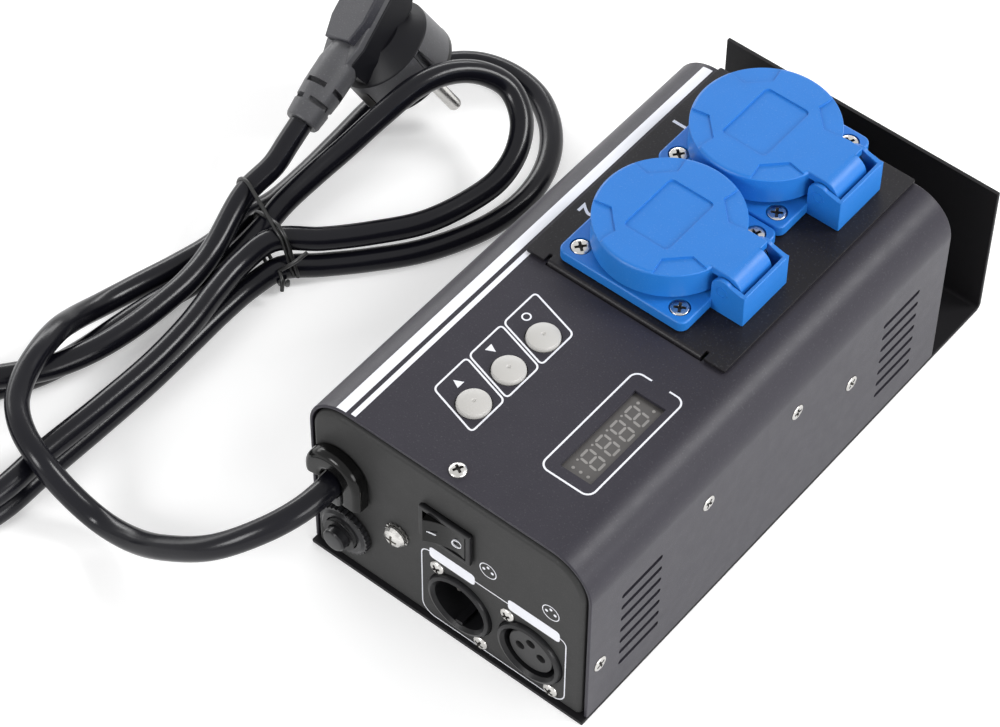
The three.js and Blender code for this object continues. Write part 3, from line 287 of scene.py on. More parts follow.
class Solid:
    """A closed shape under construction, in the housing's coordinates."""

    def __init__(self, maker: bmesh.types.BMesh) -> None:
        """Takes over a bmesh and turns its faces outwards."""
        bmesh.ops.remove_doubles(maker, verts=maker.verts, dist=1e-7)
        bmesh.ops.recalc_face_normals(maker, faces=maker.faces)
        mesh = bpy.data.meshes.new("shape")
        maker.to_mesh(mesh)
        maker.free()
        self.body = bpy.data.objects.new("shape", mesh)
        bpy.context.scene.collection.objects.link(self.body)

    @classmethod
    def prism(cls, axis: Axis, outline: Sequence[Point], low: float, high: float) -> "Solid":
        """An outline pushed along an axis between two coordinates."""
        maker = bmesh.new()
        rings = [[maker.verts.new(axis.place(u, v, w)) for u, v in outline] for w in (low, high)]
        maker.faces.new(rings[0])
        maker.faces.new(rings[1])
        for i in range(len(outline)):
            j = (i + 1) % len(outline)
            maker.faces.new((rings[0][i], rings[0][j], rings[1][j], rings[1][i]))
        return cls(maker)

    @classmethod
    def slab(cls, axis: Axis, outline: Sequence[Point], low: float, high: float, edge: float,
             steps: int = 3) -> "Solid":
        """An outline pushed along an axis, with the rims of both ends rounded."""
        maker = bmesh.new()
        levels = []
        for i in range(steps + 1):
            a = math.pi / 2 * i / steps
            levels.append((edge * (1 - math.sin(a)), low + edge * (1 - math.cos(a))))
        levels += [(inset, low + high - height) for inset, height in reversed(levels)]
        rings = [[maker.verts.new(axis.place(u, v, height)) for u, v in inset_outline(outline, inset)]
                 for inset, height in levels]
        maker.faces.new(rings[0])
        maker.faces.new(rings[-1])
        count = len(outline)
        for a, b in zip(rings, rings[1:]):
            for i in range(count):
                j = (i + 1) % count
                maker.faces.new((a[i], a[j], b[j], b[i]))
        return cls(maker)

    @classmethod
    def block(cls, x: Point, y: Point, z: Point) -> "Solid":
        """A block between two opposite corners."""
        return cls.prism(Axis.Z, [(x[0], y[0]), (x[1], y[0]), (x[1], y[1]), (x[0], y[1])], *z)

    @classmethod
    def bar(cls, axis: Axis, radius: float, centre: Point, low: float, high: float,
            sides: int = 48) -> "Solid":
        """A round bar along one axis."""
        return cls.prism(axis, arc(centre, radius, 0, 360 - 360 / sides, sides - 1), low, high)

    @classmethod
    def turned(cls, axis: Axis, profile: Sequence[Point], centre: Point, sides: int = 64) -> "Solid":
        """A profile of (radius, height) corners, from the axis back to the axis, turned about it."""
        maker = bmesh.new()
        rings = []
        for radius, height in profile:
            if radius < 1e-9:
                rings.append([maker.verts.new(axis.place(*centre, height))])
            else:
                ring = arc(centre, radius, 0, 360 - 360 / sides, sides - 1)
                rings.append([maker.verts.new(axis.place(u, v, height)) for u, v in ring])
        for a, b in zip(rings, rings[1:]):
            for i in range(sides):
                j = (i + 1) % sides
                if len(a) == 1 and len(b) == 1:
                    break
                if len(a) == 1:
                    maker.faces.new((a[0], b[i], b[j]))
                elif len(b) == 1:
                    maker.faces.new((a[i], a[j], b[0]))
                else:
                    maker.faces.new((a[i], a[j], b[j], b[i]))
        return cls(maker)

    @classmethod
    def sweep(cls, path: Sequence[Vector], section: Sequence[Point]) -> "Solid":
        """A section carried along a path with as little twist as possible, closed at both ends."""
        maker = bmesh.new()
        rings = []
        across = None
        for i, here in enumerate(path):
            ahead = path[min(i + 1, len(path) - 1)] - path[max(i - 1, 0)]
            ahead.normalize()
            start = Vector((0, 0, 1)) if across is None else across
            side = start - ahead * start.dot(ahead)
            if side.length < 1e-6:
                side = Vector((1, 0, 0)) - ahead * ahead.x
            across = side.normalized()
            over = ahead.cross(across)
            rings.append([maker.verts.new(here + across * u + over * v) for u, v in section])
        for a, b in zip(rings, rings[1:]):
            for i in range(len(section)):
                j = (i + 1) % len(section)
                maker.faces.new((a[i], a[j], b[j], b[i]))
        maker.faces.new(rings[0])
        maker.faces.new(rings[-1])
        return cls(maker)

    def _apply(self) -> "Solid":
        """Makes the modifiers real."""
        graph = bpy.context.evaluated_depsgraph_get()
        mesh = bpy.data.meshes.new_from_object(self.body.evaluated_get(graph))
        self.body.modifiers.clear()
        old = self.body.data
        self.body.data = mesh
        bpy.data.meshes.remove(old)
        return self

    def _combine(self, operation: str, others: Iterable["Solid"]) -> "Solid":
        """Joins or cuts with other shapes, which are used up."""
        used = list(others)
        for other in used:
            step = self.body.modifiers.new("combine", "BOOLEAN")
            step.operation = operation
            step.solver = "MANIFOLD"
            step.object = other.body
        self._apply()
        for other in used:
            other.discard()
        return self

    def cut(self, *others: "Solid") -> "Solid":
        """Cuts other shapes out of this one."""
        return self._combine("DIFFERENCE", others)

    def join(self, *others: "Solid") -> "Solid":
        """Joins other shapes to this one."""
        return self._combine("UNION", others)

    def rounded(self, width: float, edges: Sharpness = Sharpness.SOFT, angle: float = 40.0,
                clamp: bool = True) -> "Solid":
        """Rounds every edge sharper than an angle in degrees, and less where short edges clamp it."""
        step = self.body.modifiers.new("edges", "BEVEL")
        step.width = width
        step.segments = edges.value
        step.limit_method = "ANGLE"
        step.angle_limit = math.radians(angle)
        step.use_clamp_overlap = clamp
        return self._apply()

    def moved(self, matrix: Matrix) -> "Solid":
        """Moves or turns the shape."""
        self.body.data.transform(matrix)
        return self

    def discard(self) -> None:
        """Deletes the shape."""
        mesh = self.body.data
        bpy.data.objects.remove(self.body)
        bpy.data.meshes.remove(mesh)


@dataclass
class Bench:
    """Where finished shapes are dressed and put on their bodies.

    Attributes:
        front: Where the cover's front edge stands along Y in the frame.
    """

    front: float
    count: int = 0

    def dress(self, shape: Solid, name: str, finish: Finish, *nodes: str, body: str = PACK,
              slot: str | None = None, smooth: float = 32.0) -> bpy.types.Object:
        """Finishes a shape and puts it on its body.

        Args:
            shape: The shape, in the housing's coordinates.
            name: The piece's name.
            finish: Its surface finish.
            nodes: The CAD nodes that it stands for.
            body: The body that it rides on.
            slot: The record's material slot; not used.
            smooth: Edges flatter than this angle in degrees are shaded smooth.

        Returns:
            The finished piece.
        """
        piece = shape.body
        piece.name = name
        piece.data.name = name
        piece.data.transform(Matrix.Translation((0.0, self.front, 0.0)))
        return self.settle(piece, finish, *nodes, body=body, slot=slot, smooth=smooth)

    def settle(self, piece: bpy.types.Object, finish: Finish, *nodes: str, body: str = PACK,
               slot: str | None = None, smooth: float | None = 32.0) -> bpy.types.Object:
        """Gives a piece that is already in place its finish and body, and hides the CAD nodes that it stands
        for.
        """
        piece.data.materials.clear()
        piece.data.materials.append(finish.material())
        if smooth is not None:
            piece.data.shade_smooth()
            piece.data.set_sharp_from_angle(angle=math.radians(smooth))
            weights = piece.modifiers.new("normals", "WEIGHTED_NORMAL")
            weights.keep_sharp = True
        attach(piece, body)
        if nodes:
            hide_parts(*nodes)
        self.count += 1
        log.info("%s rides on %s", piece.name, body)
        return piece


class Facing(Enum):
    """Which way a screw's head looks: the turn from upright, in degrees, and its axis."""

    UP = (0.0, "Z")
    FRONT = (90.0, "X")
    RIGHT = (90.0, "Y")
    LEFT = (-90.0, "Y")

    def matrix(self) -> Matrix:
        """The turn from a head that looks up."""
        degrees, axis = self.value
        return Matrix.Rotation(math.radians(degrees), 4, axis)


@dataclass
class Screws:
    """Small cross-recess screws, drawn with the head upwards and turned to where they face."""

    bench: Bench
    sunk_top: float = 0.0004
    dome_top: float = 0.0013
    dome_edge: float = 0.0003
    depth: float = 0.0011
    reach: float = 0.72

    def head(self, radius: float, sunk: bool) -> Solid:
        """A countersunk or a low domed head with its cross recess."""
        if sunk:
            top = self.sunk_top
            profile = [(0.0, top), (radius - 0.0003, top - 0.00005), (radius - 0.0001, top - 0.00015),
                       (radius, top - 0.0003), (radius, -0.0003), (radius * 0.7, -0.0014), (0.0, -0.0014)]
        else:
            top = self.dome_top
            angles = [math.pi / 2 * i / 8 for i in range(9)]
            crown = [(radius * math.sin(a), self.dome_edge + (top - self.dome_edge) * math.cos(a))
                     for a in angles]
            profile = [*crown, (radius, -0.0002), (0.0, -0.0002)]
        shape = Solid.turned(Axis.Z, profile, (0.0, 0.0), 40)
        floor, above = top - self.depth, top + 0.0003
        reach, foot, half = radius * self.reach, radius * 0.42, radius * 0.16
        arm = [(-reach, above), (-foot, floor), (foot, floor), (reach, above)]
        across = Solid.prism(Axis.Y, arm, -half, half)
        along = Solid.prism(Axis.Y, arm, -half, half).moved(Matrix.Rotation(math.radians(90), 4, "Z"))
        cone = [(0.0, floor), (radius * 0.1, floor), (radius * 0.36, above), (0.0, above)]
        pit = Solid.turned(Axis.Z, cone, (0.0, 0.0), 20)
        return shape.cut(across, along, pit)

    def add(self, name: str, place: Place, facing: Facing, radius: float, sunk: bool = False,
            turn: float = 20.0) -> None:
        """Adds one screw.

        Args:
            name: The piece's name.
            place: Where its axis meets the surface under its head.
            facing: Which way the head looks.
            radius: The head's radius.
            sunk: True for a flat head in a countersink.
            turn: How far the recess is turned, in degrees.
        """
        spin = Matrix.Rotation(math.radians(turn), 4, "Z")
        shape = self.head(radius, sunk)
        inside = self.recess_shade_faces(shape, radius, self.sunk_top if sunk else self.dome_top)
        shape.moved(Matrix.Translation(place) @ facing.matrix() @ spin)
        piece = self.bench.dress(shape, name, SCREW_NICKEL)
        # The recess faces take a second, dark finish: painted shade in the cross recess.
        piece.data.materials.append(SCREW_RECESS_SHADE.material())
        for index in inside:
            piece.data.polygons[index].material_index = 1

    def recess_shade_faces(self, shape: Solid, radius: float, top: float) -> list[int]:
        """The faces of an upright head that lie in its recess, which take the painted shade."""
        found = []
        for face in shape.body.data.polygons:
            out = math.hypot(face.center.x, face.center.y) / radius
            crown = top
            if top != self.sunk_top:
                crown = self.dome_edge + (top - self.dome_edge) * math.sqrt(max(1 - out * out, 0.0))
            if out < self.reach and -0.0009 < face.center.z < crown - 0.00012:
                found.append(face.index)
        return found


def ribbon(path: Sequence[Point], width: float, closed: bool) -> tuple[list[Point], list[Point]]:
    """The two edges of a line of some width that follows a path."""
    left, right = [], []
    count = len(path)
    for i, here in enumerate(path):
        before = path[i - 1] if (closed or i > 0) else here
        after = path[(i + 1) % count] if (closed or i < count - 1) else here
        a = Vector((here[0] - before[0], here[1] - before[1]))
        b = Vector((after[0] - here[0], after[1] - here[1]))
        a = a.normalized() if a.length > 1e-9 else b.normalized()
        b = b.normalized() if b.length > 1e-9 else a
        mean = (a + b).normalized()
        normal = Vector((-mean.y, mean.x))
        stretch = width / 2 / max(mean.dot(b), 0.3)
        left.append((here[0] + normal.x * stretch, here[1] + normal.y * stretch))
        right.append((here[0] - normal.x * stretch, here[1] - normal.y * stretch))
    return left, right


@dataclass
class Printing:
    """White ink on the housing: thin raised shapes on a flat face.

    Attributes:
        bench: Where pieces are dressed.
        axis: The axis square to the printed face.
        face: Where the face is along it.
        outward: 1 or -1, the way the face looks.
        line: How wide a line is drawn when nothing else is said.
    """

    bench: Bench
    axis: Axis
    face: float
    outward: int
    line: float = 0.0006

    def _levels(self) -> Point:
        """The ink's lower and upper faces."""
        return tuple(sorted((self.face - self.outward * PRINT_SINK, self.face + self.outward * PRINT_HEIGHT)))

    def stroke(self, name: str, path: Sequence[Point], closed: bool = True,
               width: float | None = None) -> None:
        """Prints a line along a path."""
        left, right = ribbon(path, width or self.line, closed)
        low, high = self._levels()
        maker = bmesh.new()
        rows = [[maker.verts.new(self.axis.place(u, v, w)) for u, v in edge]
                for edge, w in ((left, low), (right, low), (right, high), (left, high))]
        count = len(path)
        for i in range(count if closed else count - 1):
            j = (i + 1) % count
            for a, b in ((0, 1), (1, 2), (2, 3), (3, 0)):
                maker.faces.new((rows[a][i], rows[b][i], rows[b][j], rows[a][j]))
        if not closed:
            maker.faces.new([row[0] for row in rows])
            maker.faces.new([row[-1] for row in rows])
        self.bench.dress(Solid(maker), name, WHITE_INK)

    def patch(self, name: str, outline: Sequence[Point]) -> None:
        """Prints a filled shape."""
        self.bench.dress(Solid.prism(self.axis, outline, *self._levels()), name, WHITE_INK)

    def digit(self, name: str, text: str, centre: Point, height: float, turn: float) -> None:
        """Prints a plain number, turned by an angle in degrees."""
        curve = bpy.data.curves.new(name, "FONT")
        curve.body = text
        curve.size = height * 1.35
        curve.align_x = "CENTER"
        curve.align_y = "CENTER"
        curve.offset = height * 0.02
        curve.extrude = PRINT_HEIGHT / 2
        maker_object = bpy.data.objects.new(name, curve)
        bpy.context.scene.collection.objects.link(maker_object)
        graph = bpy.context.evaluated_depsgraph_get()
        maker = bmesh.new()
        maker.from_mesh(bpy.data.meshes.new_from_object(maker_object.evaluated_get(graph)))
        bpy.data.objects.remove(maker_object)
        shape = Solid(maker)
        low, high = self._levels()
        shift = Matrix.Translation(self.axis.place(*centre, (low + high) / 2))
        shape.moved(shift @ Matrix.Rotation(math.radians(turn), 4, "Z"))
        self.bench.dress(shape, name, WHITE_INK)


@dataclass
class Housing:
    """Bracket, tray, cover and outlet plate, all of folded sheet."""

    bench: Bench
    sheet: float = 0.0012
    bend: float = 0.015
    plate: float = 0.0013
    clamp_hole: float = 0.00525
    clamp_height: float = 0.032
    face: float = PANEL_FACE
    roll: float = 0.0018
    vent_rows: int = 7
    vent_first: float = 0.014
    vent_pitch: float = 0.00575
    vent_height: float = 0.002
    vent_groups: tuple[Point, ...] = ((0.015, 0.0346), (0.1475, 0.167))
    side_screw: float = 0.0027
    side_places: tuple[Point, ...] = ((0.0056, 0.0248), (0.0568, 0.0514), (0.1016, 0.0512), (0.1319, 0.0359))
    low: Vector = field(init=False)
    high: Vector = field(init=False)

    def __post_init__(self) -> None:
        """Reads the cover's box from the frame."""
        low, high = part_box("top_cover")
        shift = Vector((0.0, self.bench.front, 0.0))
        self.low, self.high = low - shift, high - shift

    def build(self) -> None:
        """Makes every sheet-metal piece, the prints and the cover's screws."""
        self.bracket()
        self.cover()
        self.tray()
        self.outlet_plate()
        self.top_print()
        self.screws()

    def bracket(self) -> None:
        """The base plate, bent up behind the body into the clamp flange."""
        low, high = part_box("mounting_bracket")
        front, rear, top = low.y - self.bench.front, high.y - self.bench.front, high.z
        outer = 2 * self.plate
        outline = [
            (front, 0.0),
            *arc((rear - outer, outer), outer, -90, 0, 10),
            (rear, top),
            (rear - self.plate, top),
            *arc((rear - outer, outer), self.plate, 0, -90, 10),
            (front, self.plate),
        ]
        shape = Solid.slab(Axis.X, outline, low.x, high.x, 0.0004)
        hole = Solid.bar(Axis.Y, self.clamp_hole, (0.0, self.clamp_height), rear - outer, rear + outer)
        shape.cut(hole)
        self.bench.dress(shape, "bracket", BRACKET_PAINT, "mounting_bracket", slot="bracket_paint")

    def section(self, inset: float, steps: int = 14) -> list[Point]:
        """The cover's line across, from its lower left edge over the top to its lower right edge."""
        half, top, bend = self.high.x - inset, self.high.z - inset, self.bend - inset
        return [
            (-half, self.low.z),
            *arc((-half + bend, top - bend), bend, 180, 90, steps),
            *arc((half - bend, top - bend), bend, 90, 0, steps),
            (half, self.low.z),
        ]

    def vents(self) -> list[Solid]:
        """The slots of both sides."""
        made = []
        half, half_height = self.high.x, self.vent_height / 2
        for side in (-1, 1):
            reach = sorted((side * (half - 2 * self.sheet), side * (half + self.sheet)))
            for y0, y1 in self.vent_groups:
                for row in range(self.vent_rows):
                    z = self.vent_first + row * self.vent_pitch
                    slot = rounded(y0, y1, z - half_height, z + half_height, half_height - 1e-5)
                    made.append(Solid.prism(Axis.X, slot, *reach))
        return made

    def cover(self) -> None:
        """The inverted U of sheet steel with its vents and openings."""
        outline = [*self.section(0.0), *reversed(self.section(self.sheet))]
        shape = Solid.slab(Axis.Y, outline, self.low.y, self.high.y, 0.00045)
        through = (self.high.z - 2 * self.sheet, self.high.z + self.sheet)
        holes = [
            Solid.block(WINDOW_X, WINDOW_Y, through),
            Solid.block((-0.03, 0.03), (0.0827, self.high.y - 0.002), through),
            *(Solid.bar(Axis.Z, 0.0058, (Controls.button_x, y), *through) for y in Controls.button_places()),
            *(Solid.bar(Axis.X, self.side_screw + 0.00015, (y, z), *sorted((side * 0.052, side * 0.056)), 32)
              for side in (-1, 1) for y, z in self.side_places),
        ]
        shape.cut(*self.vents(), *holes)
        self.bench.dress(shape, "cover", COVER_PAINT, "top_cover", slot="cover_paint")

    def end_pan(self, face: float, inward: int) -> Solid:
        """One end of the tray, with rolled edges bent back into the housing."""
        half, top, corner = self.high.x - self.sheet - 0.0007, self.high.z - 0.0022, self.bend - 0.0022
        depth = 0.008
        low, high = sorted((face, face + inward * (depth + 0.006)))
        skin = Solid.prism(Axis.Y, rounded(-half, half, 0.0016, top, 0.002, corner, 12), low, high)
        skin.rounded(self.roll, Sharpness.ROUND, 60.0)
        inner = rounded(-half + self.sheet, half - self.sheet, 0.0016 + self.sheet, top - self.sheet, 0.001,
                        corner - self.sheet, 12)
        pocket = Solid.prism(Axis.Y, inner, *sorted((face + inward * self.sheet, face + inward * 0.03)))
        behind = tuple(sorted((face + inward * depth, face + inward * 0.03)))
        return skin.cut(pocket, Solid.block((-0.06, 0.06), behind, (-0.01, 0.09)))

    def tray(self) -> None:
        """Front panel, floor and rear panel in one."""
        half = self.high.x - self.sheet - 0.0007
        rear = self.high.y + self.face
        shape = self.end_pan(self.face, 1)
        floor = Solid.block((-half + 0.002, half - 0.002), (0.003, rear - 0.003), (0.0016, 0.0028))
        shape.join(self.end_pan(rear, -1), floor)
        posts = [Solid.bar(Axis.Z, 0.003, (side * 0.036, y), 0.0022, 0.0087, 24)
                 for side in (-1, 1) for y in (0.044, 0.162)]
        shape.join(*posts)
        behind = (self.face - 0.002, self.face + 0.004)
        holes = [
            Solid.bar(Axis.Y, 0.0087, BUSHING, *behind),
            Solid.bar(Axis.Y, 0.0062, BREAKER, *behind),
            Solid.bar(Axis.Y, 0.0022, EARTH_SCREW, *behind, 24),
            Solid.block((ROCKER[0] - 0.0093, ROCKER[0] + 0.0093), behind, (0.04505, 0.05825)),
            Solid.bar(Axis.Z, WELL_HOLE, (OUTLET_X, OUTLET_Y["rear"]), 0.065, 0.075),
            *(Solid.bar(Axis.Y, 0.0124, (x, SIGNAL_Z), *behind, 64) for x in SIGNAL_X.values()),
        ]
        shape.cut(*holes)
        self.bench.dress(shape, "tray", PANEL_PAINT, "chassis", slot="tray_paint")

    def outlet_plate(self) -> None:
        """The darker sheet that carries the outlets, its front lip bent down between two notches."""
        low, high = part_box("outlet_plate")
        front, rear = low.y - self.bench.front, high.y - self.bench.front
        bottom, top, tab, notch = high.z - self.plate, high.z, 0.0294, 0.0012
        shape = Solid.prism(Axis.Z, rounded(low.x, high.x, front, rear, 0.0008, steps=4), bottom, top)
        through = (bottom - 0.001, top + 0.001)
        corner = Solid.block((-tab - notch, tab + notch), (front - 0.001, front + self.plate), through)
        notches = [Solid.block(tuple(sorted((side * tab, side * (tab + notch)))),
                               (front - 0.001, front + 0.0032), through) for side in (-1, 1)]
        wells = [Solid.bar(Axis.Z, WELL_HOLE, (OUTLET_X, y), *through) for y in OUTLET_Y.values()]
        lip = [
            *arc((front + self.plate, bottom), self.plate, 90, 180, 8),
            (front, low.z),
            (front + self.plate, low.z),
        ]
        shape.cut(corner, *notches, *wells).join(Solid.prism(Axis.X, lip, -tab, tab))
        shape.rounded(0.00025, clamp=False)
        self.bench.dress(shape, "outlet_sheet", PLATE_PAINT, "outlet_plate", slot="outlet_plate_paint")

    def stripe(self, name: str, x0: float, x1: float, y0: float, y1: float) -> None:
        """A white stripe along the top, which follows the cover's bend."""
        outer = self.section(-PRINT_HEIGHT, 40)
        inner = self.section(PRINT_SINK, 40)

        def between(line: list[Point]) -> list[Point]:
            """The part of the cover's line from x0 to x1."""
            inside = [(x, z) for x, z in line if x0 + 1e-6 < x < x1 - 1e-6]
            ends = []
            for x in (x0, x1):
                for (xa, za), (xb, zb) in zip(line, line[1:]):
                    if xa <= x <= xb and xb > xa:
                        ends.append((x, za + (zb - za) * (x - xa) / (xb - xa)))
                        break
            return [ends[0], *inside, ends[1]]

        outline = [*between(outer), *reversed(between(inner))]
        self.bench.dress(Solid.prism(Axis.Y, outline, y0, y1), name, WHITE_INK)

    def top_print(self) -> None:
        """Stripes, key frames, display frame and the outlets' plain numbers."""
        self.stripe("stripe_wide", -0.0431, -0.03935, 0.0005, 0.1805)
        self.stripe("stripe_narrow", -0.0378, -0.03605, 0.001, 0.084)
        ink = Printing(self.bench, Axis.Z, self.high.z, 1)
        left, right, skew, tall = -0.0251, -0.006, 0.0054, 0.0153
        for i in range(3):
            y = 0.0239 + i * KEY_PITCH
            corners = [(left, y), (right, y - skew), (right, y - skew + tall), (left, y + tall)]
            ink.stroke(f"key_frame_{i + 1}", rounded_polygon(corners, 0.0018))
        self.key_marks(ink)
        top_gap = (0.0232, 0.0298)
        path = [
            (top_gap[1], 0.0675),
            *arc((0.0327, 0.0645), 0.003, 90, 0, 8),
            *arc((0.0327, 0.0246), 0.003, 0, -90, 8),
            *arc((0.0201, 0.0246), 0.003, -90, -180, 8),
            *arc((0.0201, 0.0645), 0.003, 180, 90, 8),
            (top_gap[0], 0.0675),
        ]
        ink.stroke("display_frame", path, closed=False)
        plate_ink = Printing(self.bench, Axis.Z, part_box("outlet_plate")[1].z, 1)
        plate_ink.digit("outlet_number_1", "1", (-0.0325, 0.154), 0.0062, -90)
        plate_ink.digit("outlet_number_2", "2", (-0.0327, 0.1072), 0.0062, -90)

    def key_marks(self, ink: Printing) -> None:
        """Generic marks beside the keys: a ring, an up arrow and a down arrow."""
        x, size = -0.0212, 0.0015
        low, middle, high = (y + 0.0032 for y in Controls.button_places())
        ink.stroke("key_mark_ring", arc((x, high), size * 0.9, 0, 345, 23), width=0.0005)
        ink.patch("key_mark_up", [(x - size, middle - size), (x + size, middle), (x - size, middle + size)])
        ink.patch("key_mark_down", [(x + size, low - size), (x + size, low + size), (x - size, low)])

    def screws(self) -> None:
        """One screw on the top and four in each side."""
        maker = Screws(self.bench)
        maker.add("screw_top", (0.0, 0.005, self.high.z), Facing.UP, 0.00285, turn=62.0)
        for side, facing, tag in ((1, Facing.RIGHT, "right"), (-1, Facing.LEFT, "left")):
            for i, (y, z) in enumerate(self.side_places):
                place = (side * self.high.x, y, z)
                maker.add(f"screw_{tag}_{i + 1}", place, facing, self.side_screw, sunk=True,
                          turn=20.0 + 35.0 * i)


def rounded_polygon(corners: Sequence[Point], radius: float, steps: int = 6) -> list[Point]:
    """A polygon with each corner rounded by a curve that starts at a distance from it."""
    path = []
    count = len(corners)
    for i, here in enumerate(corners):
        corner = Vector(here)
        before = (Vector(corners[i - 1]) - corner).normalized() * radius + corner
        after = (Vector(corners[(i + 1) % count]) - corner).normalized() * radius + corner
        for step in range(steps + 1):
            t = step / steps
            place = before * (1 - t) ** 2 + corner * 2 * t * (1 - t) + after * t ** 2
            path.append((place.x, place.y))
    return path


@dataclass
class Controls:
    """Keys, display and the mechanism under them."""

    bench: Bench
    radius: float = 0.0054
    crown: float = 0.077
    button_x: float = -0.0121

    @staticmethod
    def button_places() -> list[float]:
        """Where the three keys are along Y."""
        return [0.0269 + i * KEY_PITCH for i in range(3)]

    def build(self) -> None:
        """Makes the keys and the display."""
        for i, y in enumerate(self.button_places()):
            self.key(i + 1, y)
        self.display()

    def key(self, number: int, y: float) -> None:
        """One domed cap with a dimple in its middle."""
        r, top, under = self.radius, self.crown, 0.075 - 0.0015
        profile = [(0.0, top - 0.0004), (0.0004, top - 0.00036), (0.0007, top - 0.00012)]
        profile += [(0.0008 + (r - 0.0012) * i / 8, top - 0.0007 * (i / 8) ** 2) for i in range(9)]
        profile += [(r - 0.0001, top - 0.0011), (r, top - 0.0016), (r, under), (0.0065, under)]
        profile += [(0.0065, under - 0.0013), (0.0016, under - 0.0013), (0.0016, 0.066), (0.0, 0.066)]
        shape = Solid.turned(Axis.Z, profile, (self.button_x, y))
        name = f"button_{number}"
        self.bench.dress(shape, f"key_{number}", SILVER_CAP, name, body=name, slot="button_plastic")

    def display(self) -> None:
        """The seven-segment module under its opening."""
        (x0, x1), (y0, y1), face = WINDOW_X, WINDOW_Y, 0.0735
        body = Solid.block((x0 - 0.001, x1 + 0.001), (y0 - 0.001, y1 + 0.001), (0.0619, face)).rounded(0.0002)
        self.bench.dress(body, "display_block", DISPLAY_FACE, "display_window", "display_module",
                         slot="display_body")
        ink = Printing(self.bench, Axis.Z, face, 1)
        for i, y in enumerate((0.0340, 0.0410, 0.0480, 0.0550)):
            self.digit(ink, i + 1, (0.0273, y))
        dots = ((0.0245, 0.0282), (0.0273, 0.0282), (0.0301, 0.0282), (0.0245, 0.0592), (0.0301, 0.0596))
        for i, place in enumerate(dots):
            self.dot(f"display_dot_{i + 1}", place, face)

    def dot(self, name: str, centre: Point, face: float) -> None:
        """One round lamp of the display."""
        shape = Solid.bar(Axis.Z, 0.00055, centre, face - 0.0001, face + 0.00004, 20)
        self.bench.dress(shape, name, DISPLAY_SEGMENT, slot="display_body")

    def digit(self, ink: Printing, number: int, centre: Point) -> None:
        """One figure of seven bars and its point, read along -Y with its top towards +X."""
        half_w, half_h, bar, gap, slant = 0.0021, 0.0036, 0.00042, 0.0003, 0.12
        face = ink.face

        def at(across: float, up: float) -> Point:
            """A place in the figure: across its reading direction, and up."""
            return (centre[0] + up, centre[1] - across - up * slant)

        ends = {
            "top": ((-half_w, half_h), (half_w, half_h)),
            "middle": ((-half_w, 0.0), (half_w, 0.0)),
            "bottom": ((-half_w, -half_h), (half_w, -half_h)),
            "upper_left": ((-half_w, 0.0), (-half_w, half_h)),
            "upper_right": ((half_w, 0.0), (half_w, half_h)),
            "lower_left": ((-half_w, -half_h), (-half_w, 0.0)),
            "lower_right": ((half_w, -half_h), (half_w, 0.0)),
        }
        shape = None
        for (a0, b0), (a1, b1) in ends.values():
            run = Vector((a1 - a0, b1 - b0)).normalized()
            side = Vector((-run.y, run.x)) * bar
            start = Vector((a0, b0)) + run * gap
            end = Vector((a1, b1)) - run * gap
            inner, outer = start + run * bar, end - run * bar
            corners = [start, inner + side, outer + side, end, outer - side, inner - side]
            outline = [at(p.x, p.y) for p in corners]
            segment = Solid.prism(Axis.Z, outline, face - 0.0001, face + 0.00004)
            shape = segment if shape is None else merged(shape, segment)
        point = Solid.bar(Axis.Z, 0.0004, at(half_w + 0.0011, -half_h), face - 0.0001, face + 0.00004, 16)
        figure = merged(shape, point)
        self.bench.dress(figure, f"display_figure_{number}", DISPLAY_SEGMENT, slot="display_body")


def merged(first: Solid, second: Solid) -> Solid:
    """One object that holds two separate shapes."""
    maker = bmesh.new()
    maker.from_mesh(first.body.data)
    maker.from_mesh(second.body.data)
    first.discard()
    second.discard()
    return Solid(maker)


